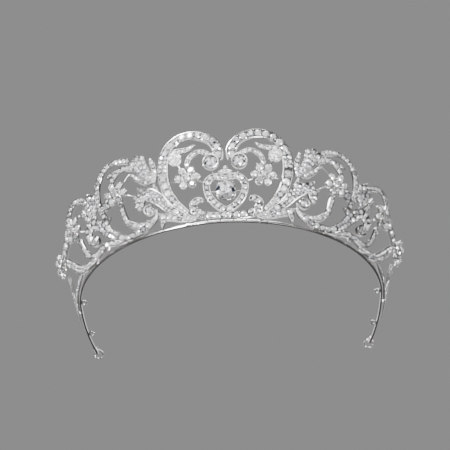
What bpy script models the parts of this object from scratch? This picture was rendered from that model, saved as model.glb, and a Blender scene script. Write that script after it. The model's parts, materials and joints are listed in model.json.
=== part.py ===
"""A bridal tiara of scrolls, leaves and flowers, built as the separate pieces that are soldered together.

Metres, +Z up. The tiara stands on its rail, the front faces -Y and the wearer's left is +X.
Everything above the rail lies on a flared skin, where a place is (s, h): s along the rail from the
middle of the front, h up the slope. Both are in millimetres in the lists below, for the +X side.
"""

import bisect
import math

import bmesh
import bpy
from mathutils import Matrix, Vector

MM = 0.001
UP = Vector((0.0, 0.0, 1.0))

# The band, in plan: half an ellipse in front of the widest line and a deeper one behind it.
BAND_HALF_WIDTH = 72.5 * MM
BAND_FRONT_DEPTH = 51.0 * MM
BAND_REAR_DEPTH = 94.0 * MM
RAIL_HALF_LENGTH = 132.0 * MM
WIDEST_LINE_Y = 16.13 * MM
RAIL_HEIGHT = 1.4 * MM
RAIL_THICKNESS = 1.0 * MM

# The ornament: it leans outwards and stands just in front of the rail.
FLARE = math.radians(22.0)
PATTERN_SCALE = 1.0
PATTERN_FOOT = 0.8 * MM
PLATE_THICKNESS = 1.2 * MM
LEAF_THICKNESS = 1.08 * MM
LEAF_STEP = 0.05 * MM
CLEARANCE = 0.3 * MM
PLATE_DEPTH = 1.0 * MM + PLATE_THICKNESS / 2
RAISED_THICKNESS = 1.4 * MM
RAISED_DEPTH = PLATE_DEPTH + PLATE_THICKNESS / 2 + CLEARANCE + RAISED_THICKNESS / 2

# Settings and stones.
RIM_WALL = 0.55 * MM
CREST_BEZEL_RADIUS = 3.95 * MM
EYE_BEZEL_RADIUS = 2.7 * MM
BEZEL_HEIGHT = 2.6 * MM
HEART_STONE_RADIUS = 4.6 * MM * PATTERN_SCALE
CLAW_RADIUS = 0.45 * MM
CLAW_HEIGHT = 2.6 * MM
GALLERY_WIRE = 0.36 * MM
PETAL_RADIUS = 1.8 * MM
PETAL_CIRCLE = 4.2 * MM
FLOWER_CORE = 3.0 * MM
WIRE_WIDTH = 0.7
PEAR_HALF_LENGTH = 3.0 * MM
PEAR_HALF_WIDTH = 3.1 * MM

# Sleeves, eyelets and rings.
SLEEVE_START = 15.3 * MM
SLEEVE_LENGTH = 3.8 * MM
SLEEVE_SIZE = 1.8 * MM
LOOP_RADIUS = 1.2 * MM
LOOP_WIRE = 0.4 * MM
LOOP_PLACES = (96.0 * MM, 118.0 * MM)
EYE_RADIUS = 1.2 * MM
EYE_WIRE = 0.45 * MM
RING_RADIUS = 2.2 * MM
RING_WIRE = 0.35 * MM
SOLDER_BITE = 0.3 * MM

METAL = ((0.80, 0.79, 0.76), 0.2, 1.0)
STONE = ((0.88, 0.90, 0.93), 0.05, 0.0)
LEFT_RIGHT = (("left", -1), ("right", 1))

# Centre lines of the flat bands: s, h and full width, in millimetres.
CREST_SCROLL = (
    (17.6, 5.4, 2.4), (22.3, 11.2, 4.0), (25.6, 18.4, 4.8), (26.6, 28.0, 5.2), (24.6, 38.0, 4.9),
    (19.2, 44.2, 4.4), (12.2, 45.2, 4.4), (5.9, 42.0, 4.6), (2.8, 36.4, 5.1), (3.4, 31.4, 5.2),
)
HEART = (
    (0.0, 21.0, 2.4), (1.7, 21.7, 2.9), (4.3, 22.35, 3.2), (6.9, 21.3, 3.3), (8.3, 18.4, 3.3),
    (7.9, 13.8, 3.3), (5.7, 9.3, 3.3), (2.7, 6.2, 3.4), (0.0, 4.6, 3.8),
)
BASE_CURL = (
    (0.6, 2.3, 3.6), (5.6, 2.35, 3.8), (10.6, 3.1, 4.0), (14.2, 6.0, 3.9), (14.7, 9.6, 3.4),
    (12.4, 11.3, 2.8), (10.2, 10.4, 2.2),
)
TENDRIL = ((5.9, 34.0, 2.1), (9.7, 36.4, 2.3), (13.5, 35.2, 2.3), (15.6, 32.2, 2.3), (16.0, 29.0, 2.3))
CREST_LEAF = ((12.2, 40.5, 0.5), (15.3, 38.6, 2.3), (19.0, 38.3, 2.8), (22.8, 38.4, 3.6))
WING_STEM = (
    (14.0, 1.4, 1.8), (19.6, 4.7, 2.9), (25.5, 9.7, 4.2), (30.0, 16.0, 5.6), (34.2, 19.8, 6.2),
    (37.7, 19.0, 5.6), (39.2, 13.2, 3.4),
)
WING_STEM_LEAVES = (
    ((29.0, 15.5, 4.0), (30.6, 20.5, 2.6), (31.3, 24.8, 0.5)),
    ((34.2, 19.5, 4.4), (36.6, 22.6, 2.4), (38.6, 24.6, 0.5)),
    ((36.8, 18.4, 4.0), (39.3, 20.2, 2.2), (41.3, 21.0, 0.5)),
)
LOW_LEAF = ((15.6, 1.2, 1.0), (20.2, 2.6, 2.0), (24.8, 4.6, 2.7), (28.4, 5.9, 3.2), (30.6, 4.8, 2.4))
LOW_LEAF_LEAVES = (
    ((27.0, 5.6, 2.4), (29.4, 7.4, 1.6), (30.8, 8.4, 0.4)),
    ((29.0, 5.0, 2.2), (29.8, 2.8, 1.6), (30.2, 1.2, 0.4)),
)
FAN_FINGERS = (
    ((30.7, 25.0, 1.8), (30.1, 31.5, 2.6), (31.0, 37.8, 1.6)),
    ((31.2, 26.6, 1.7), (33.4, 32.6, 2.8), (34.5, 40.6, 2.6)),
    ((32.0, 27.2, 1.6), (34.9, 33.0, 2.9), (37.2, 41.8, 2.9)),
    ((33.0, 27.6, 1.5), (36.4, 32.8, 2.7), (39.6, 40.6, 2.9)),
    ((30.6, 26.0, 1.8), (34.6, 26.3, 2.3), (37.6, 29.4, 2.5), (40.2, 33.2, 2.0)),
)
WING_ARCH = (
    (39.4, 40.2, 2.4), (45.6, 42.9, 2.7), (51.2, 42.0, 2.7), (55.4, 37.4, 2.7), (57.5, 30.6, 2.7),
    (57.7, 24.0, 2.7), (56.4, 17.6, 2.5),
)
WING_LEAF = ((38.2, 35.2, 2.0), (42.3, 37.7, 2.7), (46.4, 37.1, 3.0), (49.2, 34.4, 2.4), (50.6, 31.2, 0.5))
WING_LEAF_TIP = ((45.4, 37.8, 2.4), (48.8, 37.6, 1.8), (51.1, 36.6, 0.4))
WING_HOOK = ((35.0, 5.9, 2.0), (39.0, 5.3, 2.6), (43.4, 7.0, 2.8), (46.5, 11.4, 2.8), (47.6, 20.8, 2.5))
SIDE_STEM = (
    (31.4, 11.0, 0.9), (31.9, 7.4, 1.5), (34.4, 5.0, 3.0), (38.6, 2.9, 3.6), (43.2, 2.1, 3.4),
    (47.6, 2.3, 3.3), (51.4, 4.3, 3.8), (55.6, 9.0, 4.7), (59.2, 15.0, 5.5), (63.2, 18.4, 5.2),
    (66.6, 16.6, 4.4), (67.0, 11.0, 2.9),
)
SIDE_STEM_LEAVES = (
    ((58.2, 13.2, 3.6), (56.0, 15.2, 2.4), (53.4, 16.6, 0.5)),
    ((63.2, 17.8, 3.6), (65.4, 20.2, 2.0), (66.8, 22.0, 0.5)),
)
SIDE_LOW_LEAF = ((48.2, 1.1, 1.0), (52.6, 2.2, 2.0), (57.0, 4.2, 2.9), (60.4, 4.8, 3.0), (62.8, 3.8, 2.2))
SIDE_LOW_LEAF_LEAVES = (((58.6, 4.4, 2.2), (59.2, 2.6, 1.6), (59.4, 1.0, 0.4)),)
SIDE_FAN_FINGERS = (
    ((61.9, 21.4, 1.8), (59.8, 27.0, 2.6), (59.6, 33.0, 2.4)),
    ((62.0, 21.4, 1.8), (61.4, 28.0, 2.8), (61.8, 35.4, 2.8)),
    ((62.2, 21.4, 1.8), (63.4, 28.0, 2.8), (64.4, 34.6, 2.8)),
    ((62.0, 21.5, 1.8), (64.8, 22.8, 2.2), (66.2, 26.6, 2.3), (67.0, 30.2, 1.8)),
)
SIDE_ARCH = (
    (63.9, 33.9, 2.4), (67.2, 36.4, 2.6), (71.0, 36.6, 2.8), (74.6, 33.2, 3.0), (77.2, 28.8, 3.6),
    (80.8, 25.2, 4.4), (85.0, 23.2, 4.4), (88.4, 21.6, 3.8),
)
SIDE_HOOK = ((62.6, 5.3, 2.0), (66.0, 4.1, 2.4), (69.6, 5.4, 2.4), (72.2, 9.4, 2.4), (73.3, 18.2, 2.3))
END_STEM = (
    (61.8, 3.4, 1.8), (67.6, 1.9, 2.5), (73.2, 2.3, 3.1), (77.8, 4.3, 3.6), (81.4, 8.6, 3.9),
    (84.2, 13.8, 3.9), (86.6, 17.8, 3.4),
)
SPRAY_OUTER = ((92.6, 14.2, 2.4), (94.4, 10.4, 2.4), (98.6, 6.6, 2.3), (104.6, 3.2, 2.2))
SPRAY_INNER = ((79.7, 3.3, 2.4), (86.4, 2.3, 2.4), (92.4, 2.1, 2.4), (98.6, 2.3, 2.2), (104.6, 3.0, 2.2))
SPRAY_TAIL = ((103.6, 3.0, 1.6), (109.6, 2.4, 1.0), (115.0, 2.0, 0.9))

# Places of the settings: s and h in millimetres.
CREST_EYE = (5.95, 29.8)
WING_EYE = (34.5, 11.0)
SIDE_EYE = (63.7, 9.3)
HEART_EYE = (0.0, 14.3)
TREFOIL = (0.0, 25.1)
BUD = (20.9, 34.1)
PEAR = (55.0, 23.7)
CREST_FLOWER = (16.1, 22.7)
WING_FLOWER = (47.9, 25.6)
SIDE_FLOWER = (73.2, 23.6)
END_FLOWER = (90.4, 20.0)
CREST_POST = ((5.3, 22.6, WIRE_WIDTH), (5.4, 27.0, WIRE_WIDTH))
FLOWER_WIRES = {
    "crest_flower": ((24.4, 21.4), (8.9, 19.2), (20.2, 31.2)),
    "wing_flower": ((40.4, 33.0), (40.6, 21.0), (54.6, 24.6)),
    "side_flower": ((67.8, 27.8), (79.4, 27.2), (68.0, 18.4)),
}

STEP_LENGTH = 2.6
ROUND_STEPS = 3
POINTED_WIDTH = 0.6
RING_SIDES = 18
WIRE_TURNS = 12
WIRE_SIDES = 6
PETAL_POINTS = 42
PLAN_STEPS = 1440
PLAN_TURN = math.radians(150.0)


def plan_at(angle):
    """Point of the rail's centre line and its outward normal, at an angle from the front."""
    depth = BAND_FRONT_DEPTH if abs(angle) < math.pi / 2 else BAND_REAR_DEPTH
    point = Vector((BAND_HALF_WIDTH * math.sin(angle), WIDEST_LINE_Y - depth * math.cos(angle), 0.0))
    normal = Vector((math.sin(angle) / BAND_HALF_WIDTH, -math.cos(angle) / depth, 0.0))
    return point, normal.normalized()


def measure_plan():
    """Length along the centre line at even angles, from the front to past the rail's end."""
    angles = [PLAN_TURN * i / PLAN_STEPS for i in range(PLAN_STEPS + 1)]
    lengths = [0.0]
    for i in range(PLAN_STEPS):
        step = plan_at(angles[i + 1])[0] - plan_at(angles[i])[0]
        lengths.append(lengths[-1] + step.length)
    return angles, lengths


PLAN_ANGLES, PLAN_LENGTHS = measure_plan()


def plan(s):
    """Point and outward normal of the rail's centre line at a length s from the front."""
    i = min(max(bisect.bisect(PLAN_LENGTHS, abs(s)), 1), PLAN_STEPS)
    part = (abs(s) - PLAN_LENGTHS[i - 1]) / (PLAN_LENGTHS[i] - PLAN_LENGTHS[i - 1])
    angle = PLAN_ANGLES[i - 1] + (PLAN_ANGLES[i] - PLAN_ANGLES[i - 1]) * part
    return plan_at(math.copysign(angle, s))


def skin(s, h, depth):
    """A frame on the flared skin: X along the band, Y up the slope, Z straight out of the face."""
    point, out = plan(s)
    slope = out * math.sin(FLARE) + UP * math.cos(FLARE)
    face = out * math.cos(FLARE) - UP * math.sin(FLARE)
    along = slope.cross(face)
    turn = Matrix((along, slope, face)).transposed().to_4x4()
    return Matrix.Translation(point + UP * PATTERN_FOOT + slope * h + face * depth) @ turn


def place(spot, side, depth):
    """The skin's frame at a spot of the pattern, on one side of the tiara."""
    unit = MM * PATTERN_SCALE
    return skin(side * spot[0] * unit, spot[1] * unit, depth)


def collection(name):
    made = bpy.data.collections.new(name)
    bpy.context.scene.collection.children.link(made)
    return made


def add(name, mesh, where):
    made = bpy.data.objects.new(name, mesh)
    where.objects.link(made)
    return made


def finish(made, surface):
    """Give a sub-part its own material."""
    colour, roughness, metallic = surface
    material = bpy.data.materials.new(made.name + "_finish")
    material.use_nodes = True
    shader = material.node_tree.nodes["Principled BSDF"]
    shader.inputs["Base Color"].default_value = (*colour, 1.0)
    shader.inputs["Roughness"].default_value = roughness
    shader.inputs["Metallic"].default_value = metallic
    made.data.materials.append(material)
    return made


def hide(made):
    """Mark a solid as a cutter or a tool, which is no piece of the tiara."""
    made.hide_render = True
    made.display_type = "WIRE"
    for owner in list(made.users_collection):
        owner.objects.unlink(made)
    CUTTERS.objects.link(made)
    return made


def combine(made, tool, operation):
    """Cut or join a solid with a tool that stays hidden."""
    change = made.modifiers.new(operation.lower(), "BOOLEAN")
    change.operation = operation
    change.solver = "EXACT"
    change.object = hide(tool)


def smooth_line(points):
    """Points along a smooth curve through a band's own points, each with its width."""
    line = []
    last = len(points) - 1
    for i in range(last):
        four = [Vector(points[min(max(i + k, 0), last)]) for k in (-1, 0, 1, 2)]
        steps = max(1, round((four[2] - four[1]).xy.length / STEP_LENGTH))
        for step in range(steps):
            t = step / steps
            bend = (four[2] - four[0]) * t
            bend += (four[0] * 2 - four[1] * 5 + four[2] * 4 - four[3]) * t ** 2
            bend += (four[1] * 3 - four[0] - four[2] * 3 + four[3]) * t ** 3
            line.append(four[1] + bend / 2)
    line.append(Vector(points[-1]))
    return line


def rounded(line):
    """Round the far end of a band, unless it runs out to a point."""
    if line[-1].z < POINTED_WIDTH:
        return line
    radius = line[-1].z / 2
    while len(line) > 2 and (line[-1] - line[-2]).xy.length < radius:
        del line[-2]
    inner, end = line[-2], line[-1]
    run = (end - inner).xy.length
    arc = []
    for i in range(ROUND_STEPS):
        turn = math.radians(84.0) * i / (ROUND_STEPS - 1)
        spot = inner.lerp(end, (run - radius + radius * math.sin(turn)) / run)
        spot.z = 2 * radius * math.cos(turn)
        arc.append(spot)
    return line[:-1] + arc


def lengthened(line):
    """Extend a band past both of its ends by the clearance."""
    reach = CLEARANCE / (MM * PATTERN_SCALE)
    ends = []
    for near, far in ((line[1], line[0]), (line[-2], line[-1])):
        away = (far - near).xy.normalized() * reach
        ends.append(Vector((far.x + away.x, far.y + away.y, far.z)))
    return [ends[0], *line, ends[1]]


def band_edges(line, side, depth, grow, mirrored=False):
    """The two edges of a band on the skin, at right angles to its centre line.

    A mirrored band starts and ends on the middle plane, and meets it squarely.
    """
    frames = [place(spot, side, depth) for spot in line]
    middles = [frame.translation for frame in frames]
    last = len(line) - 1
    edges = []
    for i, frame in enumerate(frames):
        ahead = middles[min(i + 1, last)] - middles[max(i - 1, 0)]
        if mirrored and i in (0, last):
            ahead = Vector((ahead.x, 0.0, 0.0))
        across = frame.col[2].xyz.cross(ahead).normalized()
        half = line[i].z * MM * PATTERN_SCALE / 2 + grow
        edges.append((middles[i] - across * half, middles[i] + across * half))
    return edges


def strip(name, edges, thickness, where):
    """An open strip between two edges, thickened to a plate."""
    shape = bmesh.new()
    rows = [[shape.verts.new(spot) for spot in pair] for pair in edges]
    for near, far in zip(rows, rows[1:]):
        shape.faces.new((near[0], near[1], far[1], far[0]))
    mesh = bpy.data.meshes.new(name)
    shape.to_mesh(mesh)
    shape.free()
    made = add(name, mesh, where)
    plate = made.modifiers.new("plate", "SOLIDIFY")
    plate.thickness = thickness
    plate.offset = 0.0
    return made


def band(name, points, side, round_end=False, thickness=PLATE_THICKNESS, depth=PLATE_DEPTH):
    """A flat band of the pattern, lying on the flared skin."""
    line = smooth_line(points)
    if round_end:
        line = rounded(line)
    return strip(name, band_edges(line, side, depth, 0.0), thickness, TIARA)


def trim(made, points, side):
    """Cut a piece back so that it clears the band that it is soldered to."""
    line = lengthened(smooth_line(points))
    edges = band_edges(line, side, PLATE_DEPTH, CLEARANCE)
    combine(made, strip(made.name + "_gap", edges, PLATE_THICKNESS * 3, TIARA), "DIFFERENCE")


def cylinder(name, frame, radius, height, sides=RING_SIDES):
    """A round solid whose axis is the frame's Z and whose middle is its origin."""
    shape = bmesh.new()
    bmesh.ops.create_cone(
        shape, cap_ends=True, segments=sides, radius1=radius, radius2=radius, depth=height
    )
    mesh = bpy.data.meshes.new(name)
    shape.to_mesh(mesh)
    shape.free()
    made = add(name, mesh, TIARA)
    made.matrix_world = frame
    return made


def trim_round(made, spot, side, radius):
    """Cut a piece back so that it clears a round setting."""
    frame = place(spot, side, PLATE_DEPTH)
    gap = cylinder(made.name + "_round_gap", frame, radius + CLEARANCE, BEZEL_HEIGHT * 3)
    combine(made, gap, "DIFFERENCE")


def join_bands(made, bands, side, round_end=False):
    """Join thinner bands, such as leaves or wires, to a piece of the same casting."""
    for i, points in enumerate(bands):
        thickness = LEAF_THICKNESS - LEAF_STEP * i
        combine(made, band(made.name + "_limb", points, side, round_end, thickness), "UNION")


def turned(name, profile, frame, sides=RING_SIDES):
    """A turned piece: a profile of (radius, height) points swept round the frame's Z."""
    shape = bmesh.new()
    spots = [shape.verts.new((radius, 0.0, height)) for radius, height in profile]
    for near, far in zip(spots, spots[1:]):
        shape.edges.new((near, far))
    if profile[0][0] > 0.0:
        shape.edges.new((spots[-1], spots[0]))
    mesh = bpy.data.meshes.new(name)
    shape.to_mesh(mesh)
    shape.free()
    made = add(name, mesh, TIARA)
    made.matrix_world = frame
    turn = made.modifiers.new("turn", "SCREW")
    turn.steps = sides
    turn.render_steps = sides
    turn.use_merge_vertices = True
    turn.merge_threshold = 0.00001
    return made


def bezel(name, spot, side, radius):
    """A smooth tapered cup that holds one round stone."""
    top = BEZEL_HEIGHT
    seat = top - RIM_WALL
    inner = radius - RIM_WALL
    profile = (
        (radius - RIM_WALL / 2, top), (radius, top - RIM_WALL / 2), (radius - RIM_WALL / 2, 0.0),
        (inner - RIM_WALL, 0.0), (inner, seat - RIM_WALL * 2), (inner, top),
    )
    frame = place(spot, side, PLATE_DEPTH - PLATE_THICKNESS / 2)
    return finish(turned(name, profile, frame), METAL)


def brilliant(name, frame, radius):
    """A round brilliant: flat table, crown, girdle and pavilion."""
    profile = (
        (0.0, radius * 0.35), (radius * 0.58, radius * 0.35), (radius, radius * 0.04),
        (radius, -radius * 0.04), (radius * 0.3, -radius * 0.52), (0.0, -radius * 0.52),
    )
    return finish(turned(name, profile, frame, 16), STONE)


def bezel_stone(name, spot, side, radius):
    """The stone inside a bezel."""
    girdle = radius - RIM_WALL - CLEARANCE
    frame = place(spot, side, PLATE_DEPTH - PLATE_THICKNESS / 2 + BEZEL_HEIGHT - RIM_WALL)
    return brilliant(name, frame, girdle)


def outline(name, points, thickness, frame):
    """A flat outline filled on both faces, made a mesh."""
    curve = bpy.data.curves.new(name, "CURVE")
    curve.dimensions = "2D"
    curve.fill_mode = "BOTH"
    curve.extrude = thickness / 2
    spline = curve.splines.new("POLY")
    spline.points.add(len(points) - 1)
    for spot, target in zip(points, spline.points):
        target.co = (spot[0], spot[1], 0.0, 1.0)
    spline.use_cyclic_u = True
    drawn = add(name, curve, TIARA)
    drawn.matrix_world = frame
    bpy.context.view_layer.update()
    filled = bpy.data.meshes.new_from_object(drawn.evaluated_get(bpy.context.evaluated_depsgraph_get()))
    bpy.data.objects.remove(drawn)
    shape = bmesh.new()
    shape.from_mesh(filled)
    bmesh.ops.remove_doubles(shape, verts=shape.verts, dist=0.000001)
    bmesh.ops.recalc_face_normals(shape, faces=shape.faces)
    shape.to_mesh(filled)
    shape.free()
    filled.name = name
    made = add(name, filled, TIARA)
    made.matrix_world = frame
    return made


def lobed(lobes, core, count):
    """The outline round a core and its round lobes: how far a ray from the middle stays inside."""
    points = []
    for i in range(count):
        angle = math.tau * i / count
        ray = Vector((math.cos(angle), math.sin(angle)))
        reach = core
        for x, y, radius in lobes:
            middle = Vector((x, y))
            off = ray.x * middle.y - ray.y * middle.x
            if abs(off) < radius:
                reach = max(reach, ray.dot(middle) + math.sqrt(radius ** 2 - off ** 2))
        points.append(ray * reach)
    return points


def flower(name, spot, side, turn):
    """A six-petalled flower standing proud of the scrolls, held by thin wires behind it."""
    petals = []
    for i in range(6):
        angle = side * (math.radians(turn) + math.tau * i / 6)
        petals.append((PETAL_CIRCLE * math.cos(angle), PETAL_CIRCLE * math.sin(angle), PETAL_RADIUS))
    frame = place(spot, side, RAISED_DEPTH)
    made = outline(name, lobed(petals, FLOWER_CORE, PETAL_POINTS), RAISED_THICKNESS, frame)
    return finish(made, METAL)


def wire(made, middle, end, side):
    """A thin wire behind a flower that reaches over the band beside it."""
    start = Vector(middle).lerp(Vector(end), 0.25)
    points = ((*start, WIRE_WIDTH), (*end, WIRE_WIDTH))
    depth = RAISED_DEPTH - RAISED_THICKNESS / 2 + WIRE_WIDTH * MM * 0.65
    combine(made, band(made.name + "_wire", points, side, False, WIRE_WIDTH * MM, depth), "UNION")


def torus(name, frame, radius, wire_radius):
    """A ring of round wire round the frame's Z."""
    profile = []
    for i in range(WIRE_SIDES):
        angle = math.pi / 2 - math.tau * (i + 0.5) / WIRE_SIDES
        profile.append((radius + wire_radius * math.cos(angle), wire_radius * math.sin(angle)))
    return turned(name, profile, frame, WIRE_TURNS)


def rail(name, start, end):
    """A length of the rail, upright and flat on its underside."""
    count = max(4, round(abs(end - start) / (4.0 * MM)))
    edges = []
    for i in range(count + 1):
        spot = plan(start + (end - start) * i / count)[0]
        edges.append((spot, spot + UP * RAIL_HEIGHT))
    return strip(name, edges, RAIL_THICKNESS, TIARA)


def rail_frame(s, height):
    """A frame on the rail: X along it, Y up and Z outwards."""
    spot, out = plan(s)
    turn = Matrix((UP.cross(out), UP, out)).transposed().to_4x4()
    return Matrix.Translation(spot + UP * height) @ turn


def make_centre():
    """The heart, its stone and the small finial above it."""
    edges = band_edges(smooth_line(HEART), 1, PLATE_DEPTH, 0.0, True)
    heart = finish(strip("heart_frame", edges, PLATE_THICKNESS, TIARA), METAL)
    mirror = heart.modifiers.new("other_half", "MIRROR")
    mirror.merge_threshold = 0.00001
    heart.modifiers.move(1, 0)
    for name, side in LEFT_RIGHT:
        post = band("heart_post_" + name, CREST_POST, side, False, LEAF_THICKNESS)
        combine(heart, post, "UNION")
        trim_round(heart, CREST_EYE, side, CREST_BEZEL_RADIUS)
    girdle = PLATE_DEPTH + CLAW_HEIGHT - CLEARANCE
    brilliant("heart_stone", place(HEART_EYE, 1, girdle), HEART_STONE_RADIUS)
    make_heart_setting()
    lobes = [(0.0, 1.5 * MM, 1.1 * MM), (-1.9 * MM, -0.6 * MM, 1.15 * MM), (1.9 * MM, -0.6 * MM, 1.15 * MM)]
    frame = place(TREFOIL, 1, PLATE_DEPTH)
    finial = finish(outline("trefoil_finial", lobed(lobes, 1.2 * MM, 30), PLATE_THICKNESS, frame), METAL)
    trim_heart(finial)


def trim_heart(made):
    """Cut a piece back so that it clears the heart."""
    line = smooth_line(HEART)
    for side in (-1, 1):
        edges = band_edges(line, side, PLATE_DEPTH, CLEARANCE, True)
        combine(made, strip(made.name + "_heart_gap", edges, PLATE_THICKNESS * 3, TIARA), "DIFFERENCE")


def make_heart_setting():
    """The claw setting: a gallery ring under the stone, four claws and two bars to the heart."""
    frame = place(HEART_EYE, 1, PLATE_DEPTH)
    reach = HEART_STONE_RADIUS + CLEARANCE + CLAW_RADIUS
    made = finish(torus("heart_setting", frame, reach - CLAW_RADIUS, GALLERY_WIRE), METAL)
    for i in range(4):
        angle = math.tau * (i + 0.5) / 4
        foot = Vector((math.cos(angle), math.sin(angle), 0.0)) * reach
        stand = Matrix.Translation(foot + Vector((0.0, 0.0, CLAW_HEIGHT / 2)))
        combine(made, cylinder("heart_claw", frame @ stand, CLAW_RADIUS, CLAW_HEIGHT, 8), "UNION")
    for side in (-1, 1):
        bar = ((4.8, HEART_EYE[1], WIRE_WIDTH), (8.0, HEART_EYE[1], WIRE_WIDTH))
        combine(made, band("heart_bar", bar, side, False, WIRE_WIDTH * MM), "UNION")
    trim_heart(made)


def make_crest(name, side):
    """The tall scroll beside the heart and all that hangs from it."""
    scroll = finish(band("crest_scroll_" + name, CREST_SCROLL, side), METAL)
    trim_round(scroll, CREST_EYE, side, CREST_BEZEL_RADIUS)
    bezel("crest_bezel_" + name, CREST_EYE, side, CREST_BEZEL_RADIUS)
    bezel_stone("crest_stone_" + name, CREST_EYE, side, CREST_BEZEL_RADIUS)
    tendril = finish(band("tendril_" + name, TENDRIL, side, True), METAL)
    trim_round(tendril, CREST_EYE, side, CREST_BEZEL_RADIUS)
    trim(tendril, CREST_SCROLL, side)
    leaf = finish(band("crest_leaf_" + name, CREST_LEAF, side), METAL)
    lobes = [(-1.6 * MM, 0.9 * MM, 1.9 * MM), (-1.2 * MM, -1.3 * MM, 1.9 * MM), (1.4 * MM, 2.0 * MM, 2.0 * MM)]
    frame = place(BUD, side, PLATE_DEPTH)
    lobes = [(side * x, y, radius) for x, y, radius in lobes]
    combine(leaf, outline("bud", lobed(lobes, 2.6 * MM, 30), LEAF_THICKNESS, frame), "UNION")
    trim(leaf, CREST_SCROLL, side)
    curl = finish(band("base_curl_" + name, BASE_CURL, side, True), METAL)
    trim_heart(curl)
    trim(curl, CREST_SCROLL, side)


def make_wing(name, side):
    """The wing beside the crest: stem, fan, arch, leaf, hook and eye."""
    stem = finish(band("wing_stem_" + name, WING_STEM, side, True), METAL)
    join_bands(stem, WING_STEM_LEAVES, side)
    trim(stem, CREST_SCROLL, side)
    trim(stem, BASE_CURL, side)
    trim_round(stem, WING_EYE, side, EYE_BEZEL_RADIUS)
    bezel("wing_bezel_" + name, WING_EYE, side, EYE_BEZEL_RADIUS)
    bezel_stone("wing_stone_" + name, WING_EYE, side, EYE_BEZEL_RADIUS)
    low = finish(band("low_leaf_" + name, LOW_LEAF, side), METAL)
    join_bands(low, LOW_LEAF_LEAVES, side)
    trim(low, WING_STEM, side)
    trim(low, BASE_CURL, side)
    trim(low, SIDE_STEM, side)
    fan = finish(band("wing_fan_" + name, FAN_FINGERS[0], side), METAL)
    join_bands(fan, (*FAN_FINGERS[1:], WING_LEAF, WING_LEAF_TIP), side, True)
    trim(fan, CREST_SCROLL, side)
    for points in WING_STEM_LEAVES:
        trim(fan, points, side)
    arch = finish(band("wing_arch_" + name, WING_ARCH, side), METAL)
    for points in FAN_FINGERS[1:4]:
        trim(arch, points, side)
    trim(arch, SIDE_STEM, side)
    trim(arch, SIDE_STEM_LEAVES[0], side)
    hook = finish(band("wing_hook_" + name, WING_HOOK, side), METAL)
    trim(hook, SIDE_STEM, side)
    trim_round(hook, WING_EYE, side, EYE_BEZEL_RADIUS)
    make_pear(name, side)


def make_pear(name, side):
    """The pear-shaped setting inside the arch, its point on the arch."""
    points = []
    for i in range(24):
        angle = math.tau * i / 24
        y = PEAR_HALF_WIDTH * math.sin(angle) * math.sin(angle / 2) ** 0.9
        points.append(Vector((side * PEAR_HALF_LENGTH * math.cos(angle), y)))
    frame = place(PEAR, side, PLATE_DEPTH)
    pear = finish(outline("wing_pear_" + name, points, PLATE_THICKNESS, frame), METAL)
    trim(pear, WING_ARCH, side)


def make_side(name, side):
    """The side: the wing's pattern again, smaller, and the spray that ends it."""
    stem = finish(band("side_stem_" + name, SIDE_STEM, side, True), METAL)
    join_bands(stem, SIDE_STEM_LEAVES, side)
    trim_round(stem, WING_EYE, side, EYE_BEZEL_RADIUS)
    trim_round(stem, SIDE_EYE, side, EYE_BEZEL_RADIUS)
    bezel("side_bezel_" + name, SIDE_EYE, side, EYE_BEZEL_RADIUS)
    arch = finish(band("side_arch_" + name, SIDE_ARCH, side), METAL)
    join_bands(arch, SIDE_FAN_FINGERS, side, True)
    trim(arch, SIDE_STEM, side)
    trim(arch, WING_ARCH, side)
    hook = finish(band("side_hook_" + name, SIDE_HOOK, side), METAL)
    trim(hook, SIDE_LOW_LEAF, side)
    trim(hook, END_STEM, side)
    trim_round(hook, SIDE_EYE, side, EYE_BEZEL_RADIUS)
    end = finish(band("end_stem_" + name, END_STEM, side), METAL)
    join_bands(end, (SIDE_LOW_LEAF, *SIDE_LOW_LEAF_LEAVES), side)
    trim(end, SIDE_STEM, side)
    spray = finish(band("end_spray_" + name, SPRAY_INNER, side), METAL)
    join_bands(spray, (SPRAY_OUTER, SPRAY_TAIL), side)
    trim(spray, END_STEM, side)


def make_flowers(name, side):
    """The four flowers of a side."""
    flower("crest_flower_" + name, CREST_FLOWER, side, 0.0)
    flower("wing_flower_" + name, WING_FLOWER, side, 11.0)
    flower("side_flower_" + name, SIDE_FLOWER, side, 20.0)
    flower("end_flower_" + name, END_FLOWER, side, 5.0)
    for kind, spot in (("crest", CREST_FLOWER), ("wing", WING_FLOWER), ("side", SIDE_FLOWER)):
        made = bpy.data.objects[f"{kind}_flower_{name}"]
        for end in FLOWER_WIRES[kind + "_flower"]:
            wire(made, spot, end, side)


def make_rail_side(name, side):
    """One arm of the rail with its hairpin loops and the upright eye at its end."""
    start = SLEEVE_START + SLEEVE_LENGTH + CLEARANCE
    arm = finish(rail("rail_" + name, side * start, side * RAIL_HALF_LENGTH), METAL)
    for s in LOOP_PLACES:
        spot, out = plan(side * s)
        reach = RAIL_THICKNESS / 2 + LOOP_RADIUS + LOOP_WIRE - SOLDER_BITE
        centre = spot - out * reach + UP * (RAIL_HEIGHT / 2)
        combine(arm, torus("pin_loop", Matrix.Translation(centre), LOOP_RADIUS, LOOP_WIRE), "UNION")
    height = RAIL_HEIGHT + EYE_RADIUS + EYE_WIRE - SOLDER_BITE
    frame = rail_frame(side * RAIL_HALF_LENGTH, height)
    combine(arm, torus("end_eye", frame, EYE_RADIUS, EYE_WIRE), "UNION")
    make_ring(name, side, frame, height)


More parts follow.
